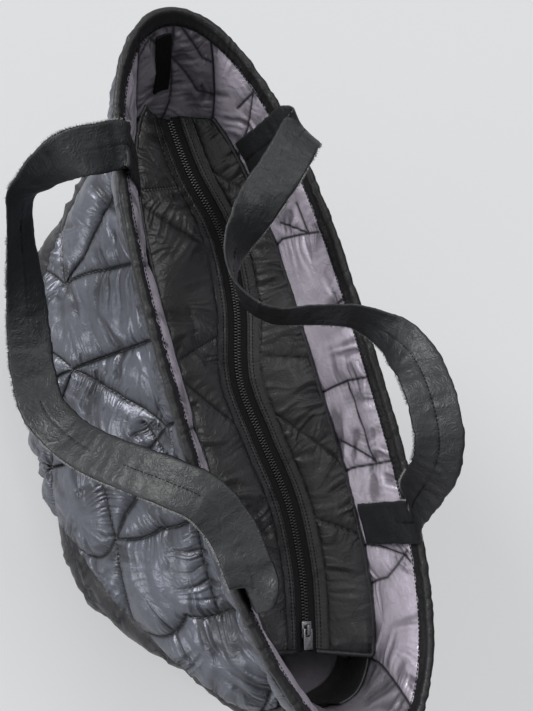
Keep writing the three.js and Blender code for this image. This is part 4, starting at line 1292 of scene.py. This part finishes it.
def strap_frame(route, side, spacing):
    """Centre, width and normal at even steps along a strap, and the place along it."""
    centre, width = (curve_through(rows, CURVE_STEPS) for rows in route_rows(route, side))
    run = run_along(centre)
    at = np.linspace(0, run[-1], int(run[-1] / spacing))
    centre, width = on_run(at, run, centre), on_run(at, run, width)
    ahead = unit(np.gradient(centre, axis=0))
    width = unit(width - ahead * np.sum(width * ahead, -1, keepdims=True))
    return centre, width, np.cross(ahead, width), at


front_places, _ = route_rows(FRONT_ROUTE, -1)
print("the front strap's route has", len(front_places), "places")

# %% Straps
STRAP_SPACING, STRAP_COLUMNS = 1.6, 33
MIDDLE_DIP, THREAD_SINK = 0.5, 0.3  # at the stitched line down the strap's middle
HELD, SHORTEST_RUN = 0.55, 8  # the middle line is stitched where the cloth is held this firmly
FIBRE_LENGTH, FIBRE_RADIUS = 2.8, 0.24
FIBRES_EACH, FIBRE_MARGIN = 12, 8  # for each row of the strap, and the rows at its ends without any


def strap(name, route, side, node, seed):
    """The folded band with its stitched middle line, and the frame that the worn edge needs."""
    centre, width, normal, at = strap_frame(route, side, STRAP_SPACING)
    share = np.linspace(-1, 1, STRAP_COLUMNS)
    half = HANDLE_WIDTH / 2
    edge_wave = noise_1d(at / 6.0, seed) * 0.5 + noise_1d(at / 2.3, seed + 1) * 0.3
    across = half * share[None, :] + edge_wave[:, None] * share[None, :] ** 8
    points_at = np.stack([np.broadcast_to(at[:, None], across.shape), across, np.zeros_like(across)], -1)
    drag = noise_3d(points_at, (6.0, 20.0, 1.0), seed + 2) * 0.5
    drag += noise_3d(points_at, (24.0, 14.0, 1.0), seed + 3) * 0.7
    drag += 0.4 * np.abs(noise_3d(points_at, (5.0, 11.0, 1.0), seed + 4))
    stretch = eased(1.6 * noise_1d(at / 55.0, seed + 6) + 0.45)[:, None]
    middle = np.exp(-((across / 1.0) ** 2)) * (0.15 + 0.55 * stretch)
    edge_roll = np.sqrt(np.clip(1 - np.abs(share) ** 14, 0, 1))[None, :]
    bend = drag * (1 - share[None, :] ** 6)
    thick = HANDLE_THICKNESS / 2 * edge_roll
    flat = centre[:, None] + width[:, None] * across[..., None]
    shown = flat + normal[:, None] * (bend + thick - MIDDLE_DIP * middle)[..., None]
    under = flat + normal[:, None] * (bend - thick + MIDDLE_DIP * middle)[..., None]
    ring = np.concatenate([shown, under[:, 1:-1][:, ::-1]], 1)
    piece = tube(name, ring)
    # The strap's middle line is painted darker: dark thread where it is stitched, and painted shade in its
    # dip.
    thread_and_painted_shade = np.concatenate([middle, middle[:, 1:-1]], 1) * 0.8
    set_attribute(piece, "thread_and_painted_shade", thread_and_painted_shade)
    piece.data.materials.append(strap_cloth)
    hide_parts(node)
    held = np.flatnonzero(np.diff(np.concatenate([[0], (stretch[:, 0] > HELD).astype(int), [0]])))
    runs = []
    for first, last in held.reshape(-1, 2):
        if last - first > SHORTEST_RUN:
            spots = slice(first, last)
            for face in (1, -1):
                lift = normal[spots] * face * (HANDLE_THICKNESS / 2 - THREAD_SINK)
                runs.append((centre[spots] + lift, normal[spots] * face))
    stitching(name + "_thread", runs)
    return piece, (centre, width, normal)


def worn_edge(name, centre, width, normal, sign, seed):
    """Pale fibres along one edge of a strap: short thin blades that stand out every way."""
    rng = np.random.default_rng(seed)
    count = len(centre) * FIBRES_EACH
    spot = rng.uniform(FIBRE_MARGIN, len(centre) - FIBRE_MARGIN - 1, count)
    wear = noise_1d(spot / 6.0, seed + 1) + 0.5 * noise_1d(spot / 1.7, seed + 2)
    spot = spot[wear > rng.uniform(-0.7, 0.5, count)]
    count = len(spot)
    low_index = spot.astype(int)
    part = (spot - low_index)[:, None]
    middle = centre[low_index] * (1 - part) + centre[low_index + 1] * part
    out, top = width[low_index] * sign, normal[low_index]
    ahead = unit(np.cross(out, top))
    tilt = rng.normal(0, 0.8, (count, 2))
    direction = unit(out + ahead * tilt[:, :1] + top * tilt[:, 1:] * 0.8)
    here = middle + out * (HANDLE_WIDTH / 2 - 0.2) + top * rng.uniform(-0.7, 0.7, (count, 1))
    side = unit(np.cross(direction, top))
    length = FIBRE_LENGTH * rng.uniform(0.35, 1.0, (count, 1))
    template = np.array([(0, -1, 0), (0, 0.5, 0.87), (0, 0.5, -0.87), (1, 0, 0)], float)
    faces = [[0, 1, 2], [0, 3, 1], [1, 3, 2], [2, 3, 0]]
    size = np.concatenate([length, np.full((count, 2), FIBRE_RADIUS)], 1)[:, None, :]
    piece = scattered(name, template, faces, here, direction, side, np.cross(direction, side), size)
    piece.data.materials.append(fray)
    return piece


strap_front, front_frame = strap("strap_front", FRONT_ROUTE, -1, "handle_front", 3011)
_, back_frame = strap("strap_back", BACK_ROUTE, 1, "handle_back", 3311)
worn_front = worn_edge("worn_edge_front", *front_frame, -1, 3611)
worn_edge("worn_edge_back", *back_frame, 1, 3911)
print("straps:", len(strap_front.data.polygons), "faces, fibres:", len(worn_front.data.polygons))

# %% [markdown]
# ## Small trims inside
# A ribbed black tape runs down the far end's lining, and a plain dark patch sits in the near end.

# %% Trims
TRIM_THICKNESS = 2.0
TAPE = dict(t=0.016, width=17.0, low=0.79, high=0.948)
PATCH_MIDDLE, PATCH_HALF = FLAP_LEVEL - 29.0, 24.0
PATCH = dict(t=1.045, width=60.0, low=(PATCH_MIDDLE - PATCH_HALF) / HEIGHT,
             high=(PATCH_MIDDLE + PATCH_HALF) / HEIGHT)


def trim(name, node, t, width, low, high, rib, material, lift=0.0):
    """A strip that lies on the lining, about t, between two shares of the height."""
    ups_here, share = np.meshgrid(np.linspace(low, high, 81), np.linspace(-1, 1, 41), indexing="ij")
    t_here = t + share * width / 2 / half_length(ups_here)
    ribs = rib * np.sin(share * width * math.pi / 2.4)
    foot = -LINING_FACE - lift
    shown = place(t_here, ups_here, foot - TRIM_THICKNESS - ribs)[:, ::-1]
    hidden = place(t_here, ups_here, np.full_like(t_here, foot))[:, ::-1]
    piece = turned_out(padded_sheet(name, shown, hidden))
    piece.data.materials.append(material)
    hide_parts(node)
    return piece


far_tape = trim("ribbed_tape", "far_tape", rib=0.35, material=tape_cloth, **TAPE)
# The patch takes the front flap's lighter tone: painted light that lifts it where it lies in shade.
near_patch = trim("plain_patch", "near_patch", rib=0.0, material=flap_painted_light_shade_cloth[-1], lift=0.5, **PATCH)
print("trims:", far_tape.name, near_patch.name)
